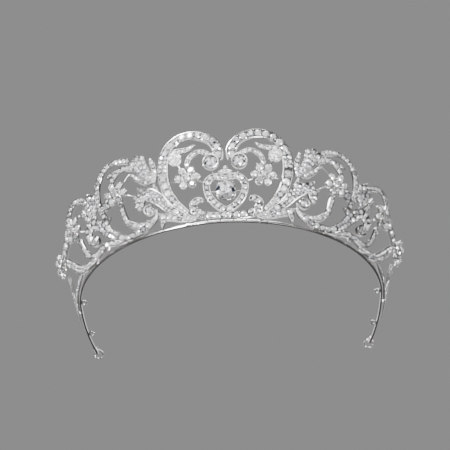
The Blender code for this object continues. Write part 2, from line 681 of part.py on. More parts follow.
def make_ring(name, side, frame, height):
    """The free ring in the rail's end eye, lying back until it meets what the tiara stands on."""
    drop = math.asin((height - RING_WIRE - 0.05 * MM) / (2 * RING_RADIUS))
    away = frame.col[0].xyz * side
    reach = away * math.cos(drop) - UP * math.sin(drop)
    hinge = frame.col[2].xyz
    turn = Matrix((hinge, reach, hinge.cross(reach))).transposed().to_4x4()
    pivot = add("end_ring_pivot_" + name, None, TIARA)
    pivot.matrix_world = Matrix.Translation(frame.translation) @ turn
    made = torus("end_ring_" + name, Matrix.Identity(4), RING_RADIUS, RING_WIRE)
    made.parent = pivot
    made.matrix_basis = Matrix.Translation(Vector((0.0, RING_RADIUS, 0.0)))
    finish(made, METAL)


def make_sleeve(name, side):
    """The sleeve that joins the middle of the rail to an arm."""
    shape = bmesh.new()
    bmesh.ops.create_cube(shape, size=1.0)
    bmesh.ops.scale(shape, verts=shape.verts, vec=(SLEEVE_LENGTH, SLEEVE_SIZE, SLEEVE_SIZE))
    mesh = bpy.data.meshes.new("sleeve_" + name)
    shape.to_mesh(mesh)
    shape.free()
    made = add("sleeve_" + name, mesh, TIARA)
    middle = SLEEVE_START + SLEEVE_LENGTH / 2
    made.matrix_world = rail_frame(side * middle, SLEEVE_SIZE / 2)
    finish(made, METAL)


def main():
    make_centre()
    finish(rail("rail_centre", CLEARANCE - SLEEVE_START, SLEEVE_START - CLEARANCE), METAL)
    for name, side in LEFT_RIGHT:
        make_crest(name, side)
        make_wing(name, side)
        make_side(name, side)
        make_flowers(name, side)
        make_sleeve(name, side)
        make_rail_side(name, side)


for old in list(bpy.data.objects):
    bpy.data.objects.remove(old)
TIARA = collection("bridal_tiara")
CUTTERS = collection("cutters")
main()
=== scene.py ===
import bisect
import json
import math

import bmesh
import bpy
from bpy.props import FloatProperty, FloatVectorProperty, IntProperty, PointerProperty
from mathutils import Matrix, Vector


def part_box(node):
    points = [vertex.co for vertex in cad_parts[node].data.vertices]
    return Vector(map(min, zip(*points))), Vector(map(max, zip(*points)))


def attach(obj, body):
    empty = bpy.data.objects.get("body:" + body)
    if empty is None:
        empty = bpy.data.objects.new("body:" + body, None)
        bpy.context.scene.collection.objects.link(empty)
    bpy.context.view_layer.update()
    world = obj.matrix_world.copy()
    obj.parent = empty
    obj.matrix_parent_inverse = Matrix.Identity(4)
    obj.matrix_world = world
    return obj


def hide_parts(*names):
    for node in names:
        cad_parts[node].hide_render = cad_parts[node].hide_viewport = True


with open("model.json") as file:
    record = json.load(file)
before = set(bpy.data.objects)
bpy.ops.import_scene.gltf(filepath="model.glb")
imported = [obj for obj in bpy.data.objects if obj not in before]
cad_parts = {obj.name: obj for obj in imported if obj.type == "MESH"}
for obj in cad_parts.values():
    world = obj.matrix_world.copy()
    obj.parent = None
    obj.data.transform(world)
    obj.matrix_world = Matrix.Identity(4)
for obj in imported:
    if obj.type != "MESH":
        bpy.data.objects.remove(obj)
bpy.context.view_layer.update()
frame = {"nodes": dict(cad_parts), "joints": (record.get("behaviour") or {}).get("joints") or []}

bl_info = {
    "name": "Bridal Tiara",
    "version": (1, 0, 0),
    "blender": (4, 5, 0),
    "location": "View3D > Sidebar > Tiara",
    "description": "Builds the stone-set looks of a bridal tiara round its packed frame",
    "category": "Object",
}

MAIN_BODY = "tiara"
MM = 0.001
UP = Vector((0.0, 0.0, 1.0))

# The band in plan, and the flared skin that the ornament lies on, in millimetres.
HALF_WIDTH = 72.5
FRONT_DEPTH = 51.0
REAR_DEPTH = 94.0
WIDEST_LINE_Y = 16.13
RAIL_HALF_LENGTH = 132.0
FLARE = math.radians(22.0)
FOOT = 0.8
PLAN_STEPS = 1440
PLAN_TURN = math.radians(150.0)

# Depths on the skin, in millimetres: the flat settings, and the flowers in front of them.
PLATE_BACK = 1.0
PLATE_TOP = 2.2
LEVEL_DROP = 0.3
RAISED_BACK = 2.5
EDGE_SOFTNESS = 0.12
STATION = 0.55
TUCK = 0.8
CHANNEL = 0.34

# Settings and stones, in millimetres.
CREST_RADIUS = 3.95
EYE_RADIUS = 2.7
BEZEL_HEIGHT = 2.6
BEZEL_WALL = 0.65
HEART_STONE = 4.6
HEART_RIM = 0.34
HEART_GIRDLE = 2.3
PETAL_CIRCLE = 4.2
PETAL_STONE = 1.55
FLOWER_STONE = 1.95
FLOWER_CORE = 3.0
LARGEST_PAVE = 2.15
TWO_ROWS_WIDE = 3.9
THREE_ROWS_WIDE = 5.5

# Centre lines of the flat bands: s, h and full width, in millimetres.
CREST_SCROLL = (
    (17.6, 5.4, 2.4), (22.3, 11.2, 4.0), (25.6, 18.4, 4.8), (26.6, 28.0, 5.2), (24.6, 38.0, 4.9),
    (19.2, 44.2, 4.4), (12.2, 45.2, 4.4), (5.9, 42.0, 4.6), (2.8, 36.4, 5.1), (3.4, 31.4, 5.2),
)
HEART = (
    (0.0, 21.0, 2.4), (1.7, 21.7, 2.9), (4.3, 22.35, 3.2), (6.9, 21.3, 3.3), (8.3, 18.4, 3.3),
    (7.9, 13.8, 3.3), (5.7, 9.3, 3.3), (2.7, 6.2, 3.4), (0.0, 4.6, 3.8),
)
BASE_CURL = (
    (0.6, 2.3, 3.6), (5.6, 2.35, 3.8), (10.6, 3.1, 4.0), (14.2, 6.0, 3.9), (14.7, 9.6, 3.4),
    (12.4, 11.3, 2.8), (10.2, 10.4, 2.2),
)
TENDRIL = ((5.9, 34.0, 2.1), (9.7, 36.4, 2.3), (13.5, 35.2, 2.3), (15.6, 32.2, 2.3), (16.0, 29.0, 2.3))
CREST_LEAF = ((12.2, 40.5, 0.5), (15.3, 38.6, 2.3), (19.0, 38.3, 2.8), (22.8, 38.4, 3.6))
WING_STEM = (
    (14.0, 1.4, 1.8), (19.6, 4.7, 2.9), (25.5, 9.7, 4.2), (30.0, 16.0, 5.6), (34.2, 19.8, 6.2),
    (37.7, 19.0, 5.6), (39.2, 13.2, 3.4),
)
WING_STEM_LEAVES = (
    ((29.0, 15.5, 4.0), (30.6, 20.5, 2.6), (31.3, 24.8, 0.5)),
    ((34.2, 19.5, 4.4), (36.6, 22.6, 2.4), (38.6, 24.6, 0.5)),
    ((36.8, 18.4, 4.0), (39.3, 20.2, 2.2), (41.3, 21.0, 0.5)),
)
LOW_LEAF = ((15.6, 1.2, 1.4), (20.2, 2.6, 2.5), (24.8, 4.6, 3.2), (28.4, 5.9, 3.6), (30.6, 4.8, 2.6))
LOW_LEAF_LEAVES = (
    ((27.0, 5.6, 2.4), (29.4, 7.4, 1.6), (30.8, 8.4, 0.4)),
    ((29.0, 5.0, 2.2), (29.8, 2.8, 1.6), (30.2, 1.2, 0.4)),
)
FAN_FINGERS = (
    ((30.7, 25.0, 1.8), (30.1, 31.5, 2.6), (31.0, 37.8, 1.6)),
    ((31.2, 26.6, 1.7), (33.4, 32.6, 2.8), (34.5, 40.6, 2.6)),
    ((32.0, 27.2, 1.6), (34.9, 33.0, 2.9), (37.2, 41.8, 2.9)),
    ((33.0, 27.6, 1.5), (36.4, 32.8, 2.7), (39.6, 40.6, 2.9)),
    ((30.6, 26.0, 1.8), (34.6, 26.3, 2.3), (37.6, 29.4, 2.5), (40.2, 33.2, 2.0)),
)
WING_ARCH = (
    (39.4, 40.2, 2.4), (45.6, 42.9, 2.7), (51.2, 42.0, 2.7), (55.4, 37.4, 2.7), (57.5, 30.6, 2.7),
    (57.7, 24.0, 2.7), (56.4, 17.6, 2.5),
)
WING_LEAF = ((38.2, 35.2, 2.0), (42.3, 37.7, 2.7), (46.4, 37.1, 3.0), (49.2, 34.4, 2.4), (50.6, 31.2, 0.5))
WING_LEAF_TIP = ((45.4, 37.8, 2.4), (48.8, 37.6, 1.8), (51.1, 36.6, 0.4))
WING_HOOK = ((35.0, 5.9, 2.0), (39.0, 5.3, 2.6), (43.4, 7.0, 2.8), (46.5, 11.4, 2.8), (47.6, 20.8, 2.5))
SIDE_STEM = (
    (31.4, 11.0, 0.9), (31.9, 7.4, 1.5), (34.4, 5.0, 3.0), (38.6, 2.9, 3.6), (43.2, 2.1, 3.4),
    (47.6, 2.3, 3.3), (51.4, 4.3, 3.8), (55.6, 9.0, 4.7), (59.2, 15.0, 5.5), (63.2, 18.4, 5.2),
    (66.6, 16.6, 4.4), (67.0, 11.0, 2.9),
)
SIDE_STEM_LEAVES = (
    ((58.2, 13.2, 3.6), (56.0, 15.2, 2.4), (53.4, 16.6, 0.5)),
    ((63.2, 17.8, 3.6), (65.4, 20.2, 2.0), (66.8, 22.0, 0.5)),
)
SIDE_LOW_LEAF = ((48.2, 1.1, 1.0), (52.6, 2.2, 2.0), (57.0, 4.2, 2.9), (60.4, 4.8, 3.0), (62.8, 3.8, 2.2))
SIDE_LOW_LEAF_LEAVES = (((58.6, 4.4, 2.2), (59.2, 2.6, 1.6), (59.4, 1.0, 0.4)),)
SIDE_FAN_FINGERS = (
    ((61.9, 21.4, 1.8), (59.8, 27.0, 2.6), (59.6, 33.0, 2.4)),
    ((62.0, 21.4, 1.8), (61.4, 28.0, 2.8), (61.8, 35.4, 2.8)),
    ((62.2, 21.4, 1.8), (63.4, 28.0, 2.8), (64.4, 34.6, 2.8)),
    ((62.0, 21.5, 1.8), (64.8, 22.8, 2.2), (66.2, 26.6, 2.3), (67.0, 30.2, 1.8)),
)
SIDE_ARCH = (
    (63.9, 33.9, 2.4), (67.2, 36.4, 2.6), (71.0, 36.6, 2.8), (74.6, 33.2, 3.0), (77.2, 28.8, 3.6),
    (80.8, 25.2, 4.4), (85.0, 23.2, 4.4), (88.4, 21.6, 3.8),
)
SIDE_HOOK = ((62.6, 5.3, 2.0), (66.0, 4.1, 2.4), (69.6, 5.4, 2.4), (72.2, 9.4, 2.4), (73.3, 18.2, 2.3))
END_STEM = (
    (61.8, 3.4, 1.8), (67.6, 1.9, 2.5), (73.2, 2.3, 3.1), (77.8, 4.3, 3.6), (81.4, 8.6, 3.9),
    (84.2, 13.8, 3.9), (86.6, 17.8, 3.4),
)
SPRAY_OUTER = ((92.6, 14.2, 2.4), (94.4, 10.4, 2.4), (98.6, 6.6, 2.3), (104.6, 3.2, 2.2))
SPRAY_INNER = ((79.7, 3.3, 2.4), (86.4, 2.3, 2.4), (92.4, 2.1, 2.4), (98.6, 2.3, 2.2), (104.6, 3.0, 2.2))
SPRAY_TAIL = ((103.6, 3.0, 1.6), (109.6, 2.4, 1.0), (115.0, 2.0, 0.9))

# Places of the settings: s and h in millimetres.
CREST_EYE = (5.95, 29.8)
WING_EYE = (34.5, 11.0)
SIDE_EYE = (63.7, 9.3)
HEART_EYE = (0.0, 14.3)
TREFOIL = (0.0, 25.1)
BUD = (20.9, 34.1)
PEAR = (55.0, 23.7)
CREST_FLOWER = (16.1, 22.7)
WING_FLOWER = (47.9, 25.6)
SIDE_FLOWER = (73.2, 23.6)
END_FLOWER = (90.4, 20.0)
CREST_POST = ((5.3, 22.6, 0.7), (5.4, 27.0, 0.7))
FLOWER_WIRES = {
    "crest_flower": ((24.4, 21.4), (8.9, 19.2), (20.2, 31.2)),
    "wing_flower": ((40.4, 33.0), (40.6, 21.0), (54.6, 24.6)),
    "side_flower": ((67.8, 27.8), (79.4, 27.2), (68.0, 18.4)),
}
END_WIRES = ((85.9, 22.2), (86.8, 17.4), (92.6, 14.6))

# The band's own fittings, in millimetres.
SLEEVE_START = 15.3
SLEEVE_LENGTH = 3.8
LOOP_RADIUS = 1.2
LOOP_WIRE = 0.4
LOOP_PLACES = (96.0, 118.0)
END_EYE_RADIUS = 1.2
END_EYE_WIRE = 0.45
EYE_HEIGHT = 2.75
RING_RADIUS = 2.2
RING_WIRE = 0.35
SOLDER_FEET = ((41.0, 2.4), (47.0, 2.4), (68.0, 1.9), (75.0, 2.8), (104.0, 2.9))

# The camera: where it is aimed, beside and above the middle of the band, in metres; its lens.
AIM_ABOVE = 0.0358
AIM_LEFT = 0.0029
VIEW_YAW = math.radians(0.8)
VIEW_ROLL = math.radians(1.74)
VIEW_LENS = 132.6

# Greys of the surround, as the camera sees it and as the pieces mirror it.
SEEN_GREY = (0.28, 0.28, 0.28, 1.0)
MIRRORED_GREY = (0.07, 0.071, 0.075, 1.0)


# --- The surface that the ornament lies on -------------------------------------------------

def plan_at(angle):
    """Point of the band's centre line and its outward normal, at an angle from the front."""
    depth = FRONT_DEPTH if abs(angle) < math.pi / 2 else REAR_DEPTH
    point = Vector((HALF_WIDTH * math.sin(angle), WIDEST_LINE_Y - depth * math.cos(angle), 0.0))
    normal = Vector((math.sin(angle) / HALF_WIDTH, -math.cos(angle) / depth, 0.0))
    return point, normal.normalized()


def measure_plan():
    """Length along the centre line at even angles, from the front to past the band's end."""
    angles = [PLAN_TURN * i / PLAN_STEPS for i in range(PLAN_STEPS + 1)]
    lengths = [0.0]
    for i in range(PLAN_STEPS):
        step = plan_at(angles[i + 1])[0] - plan_at(angles[i])[0]
        lengths.append(lengths[-1] + step.length)
    return angles, lengths


PLAN_ANGLES, PLAN_LENGTHS = measure_plan()


def plan(s):
    """Point and outward normal of the band's centre line at a length s from the front."""
    i = min(max(bisect.bisect(PLAN_LENGTHS, abs(s)), 1), PLAN_STEPS)
    part = (abs(s) - PLAN_LENGTHS[i - 1]) / (PLAN_LENGTHS[i] - PLAN_LENGTHS[i - 1])
    angle = PLAN_ANGLES[i - 1] + (PLAN_ANGLES[i] - PLAN_ANGLES[i - 1]) * part
    return plan_at(math.copysign(angle, s))


def frame_of(origin, x, y, z):
    """A frame whose own lengths are millimetres, in a scene whose lengths are metres."""
    turn = Matrix((x, y, z)).transposed().to_4x4()
    return Matrix.Translation(origin * MM) @ turn @ Matrix.Scale(MM, 4)


def place(spot, depth):
    """The skin's frame at a spot of the pattern: X along the band, Y up the slope, Z outwards."""
    point, out = plan(spot[0])
    slope = out * math.sin(FLARE) + UP * math.cos(FLARE)
    face = out * math.cos(FLARE) - UP * math.sin(FLARE)
    return frame_of(point + UP * FOOT + slope * spot[1] + face * depth, slope.cross(face), slope, face)


def rail_place(s, height):
    """A frame on the band: X along it, Y up and Z outwards."""
    point, out = plan(s)
    return frame_of(point + UP * height, UP.cross(out), UP, out)


# --- Bands of the pattern ------------------------------------------------------------------

def smooth_line(points):
    """Close points along a smooth curve through a band's own points, each with its width."""
    line = []
    last = len(points) - 1
    for i in range(last):
        four = [Vector(points[min(max(i + k, 0), last)]) for k in (-1, 0, 1, 2)]
        steps = max(1, round((four[2] - four[1]).xy.length / STATION))
        for step in range(steps):
            t = step / steps
            bend = (four[2] - four[0]) * t
            bend += (four[0] * 2 - four[1] * 5 + four[2] * 4 - four[3]) * t ** 2
            bend += (four[1] * 3 - four[0] - four[2] * 3 + four[3]) * t ** 3
            line.append(four[1] + bend / 2)
    line.append(Vector(points[-1]))
    return line


def rounded(line):
    """Round the far end of a band, unless it runs out to a point."""
    radius = line[-1].z / 2
    if radius < 0.3:
        return line
    while len(line) > 2 and (line[-1] - line[-2]).xy.length < radius:
        del line[-2]
    inner, end = line[-2], line[-1]
    run = (end - inner).xy.length
    arc = []
    for i in range(7):
        turn = math.radians(86.0) * i / 6
        spot = inner.lerp(end, (run - radius + radius * math.sin(turn)) / run)
        spot.z = 2 * radius * math.cos(turn)
        arc.append(spot)
    return line[:-1] + arc


def covered(spot, covers, margin):
    """Whether a spot lies under one of the bands or round settings, by a margin."""
    return any((spot - c).xy.length < c.z / 2 - margin for cover in covers for c in cover)


def hidden(spot, covers, radius):
    """Whether a stone on a spot would be under a band, or against a round setting."""
    rounds = [cover for cover in covers if len(cover) == 1]
    bands = [cover for cover in covers if len(cover) > 1]
    return covered(spot, rounds, -0.2 * radius) or covered(spot, bands, 0.35 * radius)


def clipped(line, covers):
    """Take off the ends of a band that lie under its neighbours, all but the tuck."""
    line = list(line)
    while len(line) > 3 and covered(line[0], covers, TUCK):
        del line[0]
    while len(line) > 3 and covered(line[-1], covers, TUCK):
        del line[-1]
    return line


class Track:
    """A band's stations on the skin: a frame whose X is across and Y along, and a half width."""

    def __init__(self, line, depth, mirrored=False):
        self.line = line
        frames = [place(spot, depth) for spot in line]
        self.frames = []
        self.lengths = [0.0]
        last = len(line) - 1
        for i, here in enumerate(frames):
            face = here.col[2].xyz.normalized()
            ahead = frames[min(i + 1, last)].translation - frames[max(i - 1, 0)].translation
            if mirrored and i in (0, last):
                ahead = Vector((ahead.x, 0.0, 0.0))
            across = ahead.cross(face).normalized()
            self.frames.append(frame_of(here.translation / MM, across, face.cross(across), face))
            if i:
                step = here.translation - frames[i - 1].translation
                self.lengths.append(self.lengths[-1] + step.length / MM)

    def at(self, t):
        """The frame, pattern spot, full width and share of the length at a distance t."""
        i = min(max(bisect.bisect(self.lengths, t), 1), len(self.line) - 1)
        part = (t - self.lengths[i - 1]) / max(self.lengths[i] - self.lengths[i - 1], 1e-6)
        here = self.frames[i - 1].copy()
        here.translation = self.frames[i - 1].translation.lerp(self.frames[i].translation, part)
        spot = self.line[i - 1].lerp(self.line[i], part)
        return here, spot, spot.z, t / self.lengths[-1]

    def spot_beside(self, spot, t, offset):
        """The pattern spot that lies beside the centre line."""
        ahead = (self.at(t + 0.4)[1] - self.at(t - 0.4)[1]).xy.normalized()
        return Vector((spot.x + ahead.y * offset, spot.y - ahead.x * offset, 0.0))


# --- Solids --------------------------------------------------------------------------------

class Job:
    """What one sub-part is made of: its metal, and the places of its stones, beads and backs."""

    def __init__(self):
        self.metal = bmesh.new()
        # The recess mask: where painted shade darkens the plate.
        self.recess = self.metal.verts.layers.float.new("recess")
        self.stones = []
        self.cut_stones = []
        self.beads = []
        self.backs = []

    def loft(self, rings, recess=None, loop=False):
        """Skin a row of rings, each with as many points; the recess values mark where painted shade goes.
        Ends are capped unless it is a loop.
        """
        rows = []
        for ring in rings:
            row = [self.metal.verts.new(spot) for spot in ring]
            for i, vert in enumerate(row):
                vert[self.recess] = recess[i] if recess else 0.0
            rows.append(row)
        pairs = list(zip(rows, rows[1:]))
        if loop:
            pairs.append((rows[-1], rows[0]))
        faces = []
        count = len(rows[0])
        for near, far in pairs:
            for i in range(count):
                k = (i + 1) % count
                faces.append(self.metal.faces.new((near[i], near[k], far[k], far[i])))
        if not loop:
            caps = [self.metal.faces.new(rows[0][::-1]), self.metal.faces.new(rows[-1])]
            faces += bmesh.ops.triangulate(self.metal, faces=caps)["faces"]
        bmesh.ops.recalc_face_normals(self.metal, faces=faces)

    def turned(self, here, profile, sides=32):
        """A closed profile of (radius, height) points swept round a frame's Z."""
        rings = []
        rays = [Matrix.Rotation(math.tau * i / sides, 4, "Z") for i in range(sides)]
        for radius, height in profile:
            rings.append([here @ ray @ Vector((radius, 0.0, height)) for ray in rays])
        self.loft(rings, loop=True)

    def hoop(self, here, radius, wire, sides=28, turns=10):
        """A ring of round wire round a frame's Z."""
        angles = [math.tau * i / turns for i in range(turns)]
        self.turned(here, [(radius + wire * math.cos(a), wire * math.sin(a)) for a in angles], sides)

    def rod(self, spots, radii, sides=10):
        """A round rod through points in metres, with a radius in millimetres at each."""
        rings = []
        last = len(spots) - 1
        side = None
        for i, spot in enumerate(spots):
            ahead = (spots[min(i + 1, last)] - spots[max(i - 1, 0)]).normalized()
            guide = side or (UP if abs(ahead.z) < 0.8 else Vector((0.0, 1.0, 0.0)))
            side = (guide - ahead * guide.dot(ahead)).normalized()
            other = ahead.cross(side)
            radius = radii[i] * MM
            angles = [math.tau * k / sides for k in range(sides)]
            rings.append([spot + (side * math.cos(a) + other * math.sin(a)) * radius for a in angles])
        self.loft(rings)

    def plate(self, here, outline, back, top, rim=0.0, floor=0.0):
        """A flat plate with soft edges: its outline, stepped in at both faces, and a recess."""
        steps = [(EDGE_SOFTNESS, back), (0.0, back + EDGE_SOFTNESS), (0.0, top - 0.08), (0.08, top)]
        if rim:
            steps += [(rim, top), (rim + 0.06, top - floor)]
        rings = []
        for inset, z in steps:
            rings.append([here @ Vector((*(p * (1.0 - inset / p.length)), z)) for p in outline])
        self.loft(rings)

    def band(self, track, rim, floor, thickness=PLATE_TOP - PLATE_BACK):
        """A band with a bright rim on each side of a sunk floor, along its stations; the floor is marked
        for painted shade.
        """
        rings = []
        for here, spot in zip(track.frames, track.line):
            half = max(spot.z / 2, 0.06)
            soft = min(EDGE_SOFTNESS, half * 0.4)
            wall = min(rim, half * 0.45)
            sunk = floor * min(1.0, half)
            side = [
                (half - soft, -thickness), (half, soft - thickness), (half, -0.1),
                (half - 0.07 * half, 0.0), (half - wall, 0.0), (half - wall - 0.05 * half, -sunk),
            ]
            profile = [(-x, z) for x, z in side] + [(x, z) for x, z in reversed(side)]
            rings.append([here @ Vector((x, 0.0, z)) for x, z in profile])
        # Recess values: 1 on the sunk floor and 0.1 at the inner rim, where painted shade darkens the
        # plate.
        self.loft(rings, [0.0, 0.0, 0.0, 0.0, 0.1, 1.0] + [1.0, 0.1, 0.0, 0.0, 0.0, 0.0])


def rows_at(share, width, rows):
    """How many rows of stones a band carries at a share of its length, or by its width."""
    if not rows:
        return 1 + (width > TWO_ROWS_WIDE) + (width > THREE_ROWS_WIDE)
    return [count for start, count in rows if start <= share][-1]


def pave(job, track, rows, rim, covers, thickness=PLATE_TOP - PLATE_BACK):
    """Rows of round stones along a band, with beads between them and open backs behind."""
    sizes = bpy.context.scene.tiara_stones
    total = track.lengths[-1]
    step = 0
    t = 0.5 * max(track.at(0.3)[2] / 2 - rim, 0.4)
    while t < total - 0.2:
        here, spot, width, share = track.at(t)
        most = rows_at(share, width, rows)
        radius = min((width / 2 - rim + 0.08) / most, LARGEST_PAVE)
        if radius < 0.28:
            t += 0.4
            continue
        count = most - 1 if most > 2 and step % 2 else most
        for i in range(count):
            offset = (i - (count - 1) / 2) * 2 * radius
            if hidden(track.spot_beside(spot, t, offset), covers, radius):
                continue
            seat = here @ Matrix.Translation((offset, 0.0, -0.02 - 0.08 * radius))
            job.stones.append((seat, radius * sizes.fill))
            back = here @ Matrix.Translation((offset, 0.0, -thickness)) @ Matrix.Rotation(math.pi, 4, "X")
            job.backs.append((back, radius * 0.8))
        advance = radius * (1.78 if most > 2 else 1.99)
        here, spot, width, share = track.at(min(t + advance / 2, total))
        for i in range(most + 1):
            offset = (i - most / 2) * 2 * radius
            offset = math.copysign(min(abs(offset), width / 2 - 0.26), offset)
            if i in (0, most) and most == 1:
                offset *= 0.94
            if hidden(track.spot_beside(spot, t, offset), covers, 0.2):
                continue
            seat = here @ Matrix.Translation((offset, 0.0, 0.0))
            job.beads.append((seat, sizes.bead * (0.75 + 0.22 * radius)))
        step += 1
        t += advance


def lay(job, points, rows, covers=(), level=0, rim=None, end=False):
    """Make one band of the pattern, with its stones, at a level below the foremost one.

    Its rows of stones are a number, a list of shares of the length and the number from there
    on, or an empty list for as many as its width takes."""
    metal = bpy.context.scene.tiara_metal
    rim = metal.rim if rim is None else rim
    line = smooth_line(points)
    if end:
        line = rounded(line)
    line = clipped(line, covers)
    track = Track(line, PLATE_TOP - level * LEVEL_DROP)
    job.band(track, rim, CHANNEL)
    pave(job, track, rows if isinstance(rows, tuple) else ((0.0, rows),), rim, covers)


def lone_band(node, *band, **more):
    """A sub-part that is one band of the pattern."""
    job = Job()
    lay(job, *band, **more)
    deliver(job, node)


def lobed(lobes, core, count):
    """The outline round a core and its round lobes: how far a ray from the middle stays inside."""
    points = []
    for i in range(count):
        angle = math.tau * i / count
        ray = Vector((math.cos(angle), math.sin(angle)))
        reach = core
        for x, y, radius in lobes:
            middle = Vector((x, y))
            off = ray.x * middle.y - ray.y * middle.x
            if abs(off) < radius:
                reach = max(reach, ray.dot(middle) + math.sqrt(radius ** 2 - off ** 2))
        points.append(ray * reach)
    return points


def round_cover(spot, radius):
    """A round setting, as a cover."""
    return [Vector((spot[0], spot[1], 2 * radius))]


def covers_of(*bands):
    return [smooth_line(points) for points in bands]


# --- Unit shapes: stones, bead and open back -----------------------------------------------

class Facets:
    """A solid of flat facets, each with its own painted brightness: painted reflection on the stones,
    painted shade in the open backs.
    """

    def __init__(self):
        self.shape = bmesh.new()
        # Each face's tone is its painted brightness: painted reflection on the stones, painted shade in the
        # open backs.
        self.tone = self.shape.faces.layers.float.new("facet")

    def ring(self, count, radius, height, turn=0.0):
        angles = [math.tau * (i + turn) / count for i in range(count)]
        return [self.shape.verts.new((radius * math.cos(a), radius * math.sin(a), height)) for a in angles]

    def face(self, verts, tone):
        self.shape.faces.new(verts)[self.tone] = tone

    def belt(self, near, far, tones):
        """Quads between two rings of as many points."""
        for i in range(len(near)):
            k = (i + 1) % len(near)
            self.face((near[i], near[k], far[k], far[i]), tones[i % len(tones)])

    def made(self, name, smooth=False):
        bmesh.ops.recalc_face_normals(self.shape, faces=self.shape.faces)
        mesh = bpy.data.meshes.new(name)
        self.shape.to_mesh(mesh)
        self.shape.free()
        if smooth:
            mesh.shade_smooth()
        made = bpy.data.objects.new(name, mesh)
        bpy.context.scene.collection.objects.link(made)
        made.hide_render = True
        return made


def brilliant(name, fine):
    """A round brilliant of unit girdle radius, each facet with a painted reflection tone; a fine one has
    the reflection of its lower facets painted in the table.
    """
    cut = Facets()
    # Each facet's tone is a painted reflection: 0 paints it white, 1 grey.
    table = cut.ring(8, 0.56, 0.34)
    stars = cut.ring(8, 0.80, 0.20, 0.5)
    girdle = cut.ring(16, 1.0, 0.02)
    culet = cut.shape.verts.new((0.0, 0.0, -0.84))
    if fine:
        middle = cut.shape.verts.new((0.0, 0.0, 0.34))
        inner = cut.ring(8, 0.27, 0.34, 0.5)
        for i in range(8):
            k = (i + 1) % 8
            cut.face((middle, inner[i], inner[k]), (0.05, 0.85)[i % 2])
            cut.face((inner[i], table[k], inner[k]), (0.55, 0.1, 0.3, 0.0)[i % 4])
            cut.face((table[i], table[k], inner[i]), (0.0, 0.7, 0.15)[i % 3])
    else:
        cut.face(table, 0.08)
    for i in range(8):
        k = (i + 1) % 8
        before, left, right = girdle[2 * i], girdle[2 * i + 1], girdle[(2 * i + 2) % 16]
        cut.face((table[i], table[k], stars[i]), (0.1, 0.5)[i % 2])
        cut.face((table[i], stars[i], before, stars[i - 1]), (0.0, 0.35, 0.05, 0.8)[i % 4])
        cut.face((stars[i], before, left), (0.6, 0.0, 0.2)[i % 3])
        cut.face((stars[i], left, right), (0.05, 0.75, 0.3)[i % 3])
    lower = girdle
    if fine:
        lower = cut.ring(16, 1.0, -0.04)
        cut.belt(girdle, lower, (0.2, 0.4))
    for i in range(8):
        k = (2 * i + 2) % 16
        cut.face((lower[2 * i], lower[2 * i + 1], lower[k], culet), (0.4, 0.9)[i % 2])
    return cut.made(name)


def bead(name):
    """A round-topped bead of unit radius, half sunk in the metal."""
    drop = Facets()
    rings = [drop.ring(8, math.cos(a), math.sin(a) + 0.1) for a in (-0.9, 0.0, 0.55, 1.05)]
    for near, far in zip(rings, rings[1:]):
        drop.belt(near, far, (0.0,))
    drop.face(rings[0][::-1], 0.0)
    drop.face(rings[-1], 0.0)
    return drop.made(name, True)


def open_back(name):
    """The drilled and chamfered hole behind a stone: a low ring round a sunk disc that is painted dark as
    the hole's shade.
    """
    hole = Facets()
    rings = [hole.ring(12, r, z) for r, z in ((0.92, -0.05), (0.86, 0.09), (0.72, 0.10), (0.6, 0.02))]
    # The inner wall and the disc get facet 1: painted shade in the hole.
    for near, far, tone in zip(rings, rings[1:], (0.0, 0.0, 1.0)):
        hole.belt(near, far, (tone,))
    hole.face(rings[0][::-1], 0.0)
    hole.face(rings[-1], 1.0)
    return hole.made(name)


UNIT_SHAPES = {
    "small_stone": lambda name: brilliant(name, False),
    "cut_stone": lambda name: brilliant(name, True),
    "bead": bead,
    "open_back": open_back,
}


def unit(name):
    return bpy.data.objects.get(name) or UNIT_SHAPES[name](name)


# --- Geometry Nodes: one shape set in many places ------------------------------------------

def enabled(sockets, name):
    """The socket of a name that a node's own type leaves in use."""
    return [socket for socket in sockets if socket.name == name and socket.enabled][0]


def add(nodes, kind, **settings):
    """A new node with its settings."""
    made = nodes.new(kind)
    for name, value in settings.items():
        setattr(made, name, value)
    return made


def named_attribute(nodes, name, kind):
    found = add(nodes, "GeometryNodeInputNamedAttribute", data_type=kind)
    found.inputs["Name"].default_value = name
    return found.outputs["Attribute"]


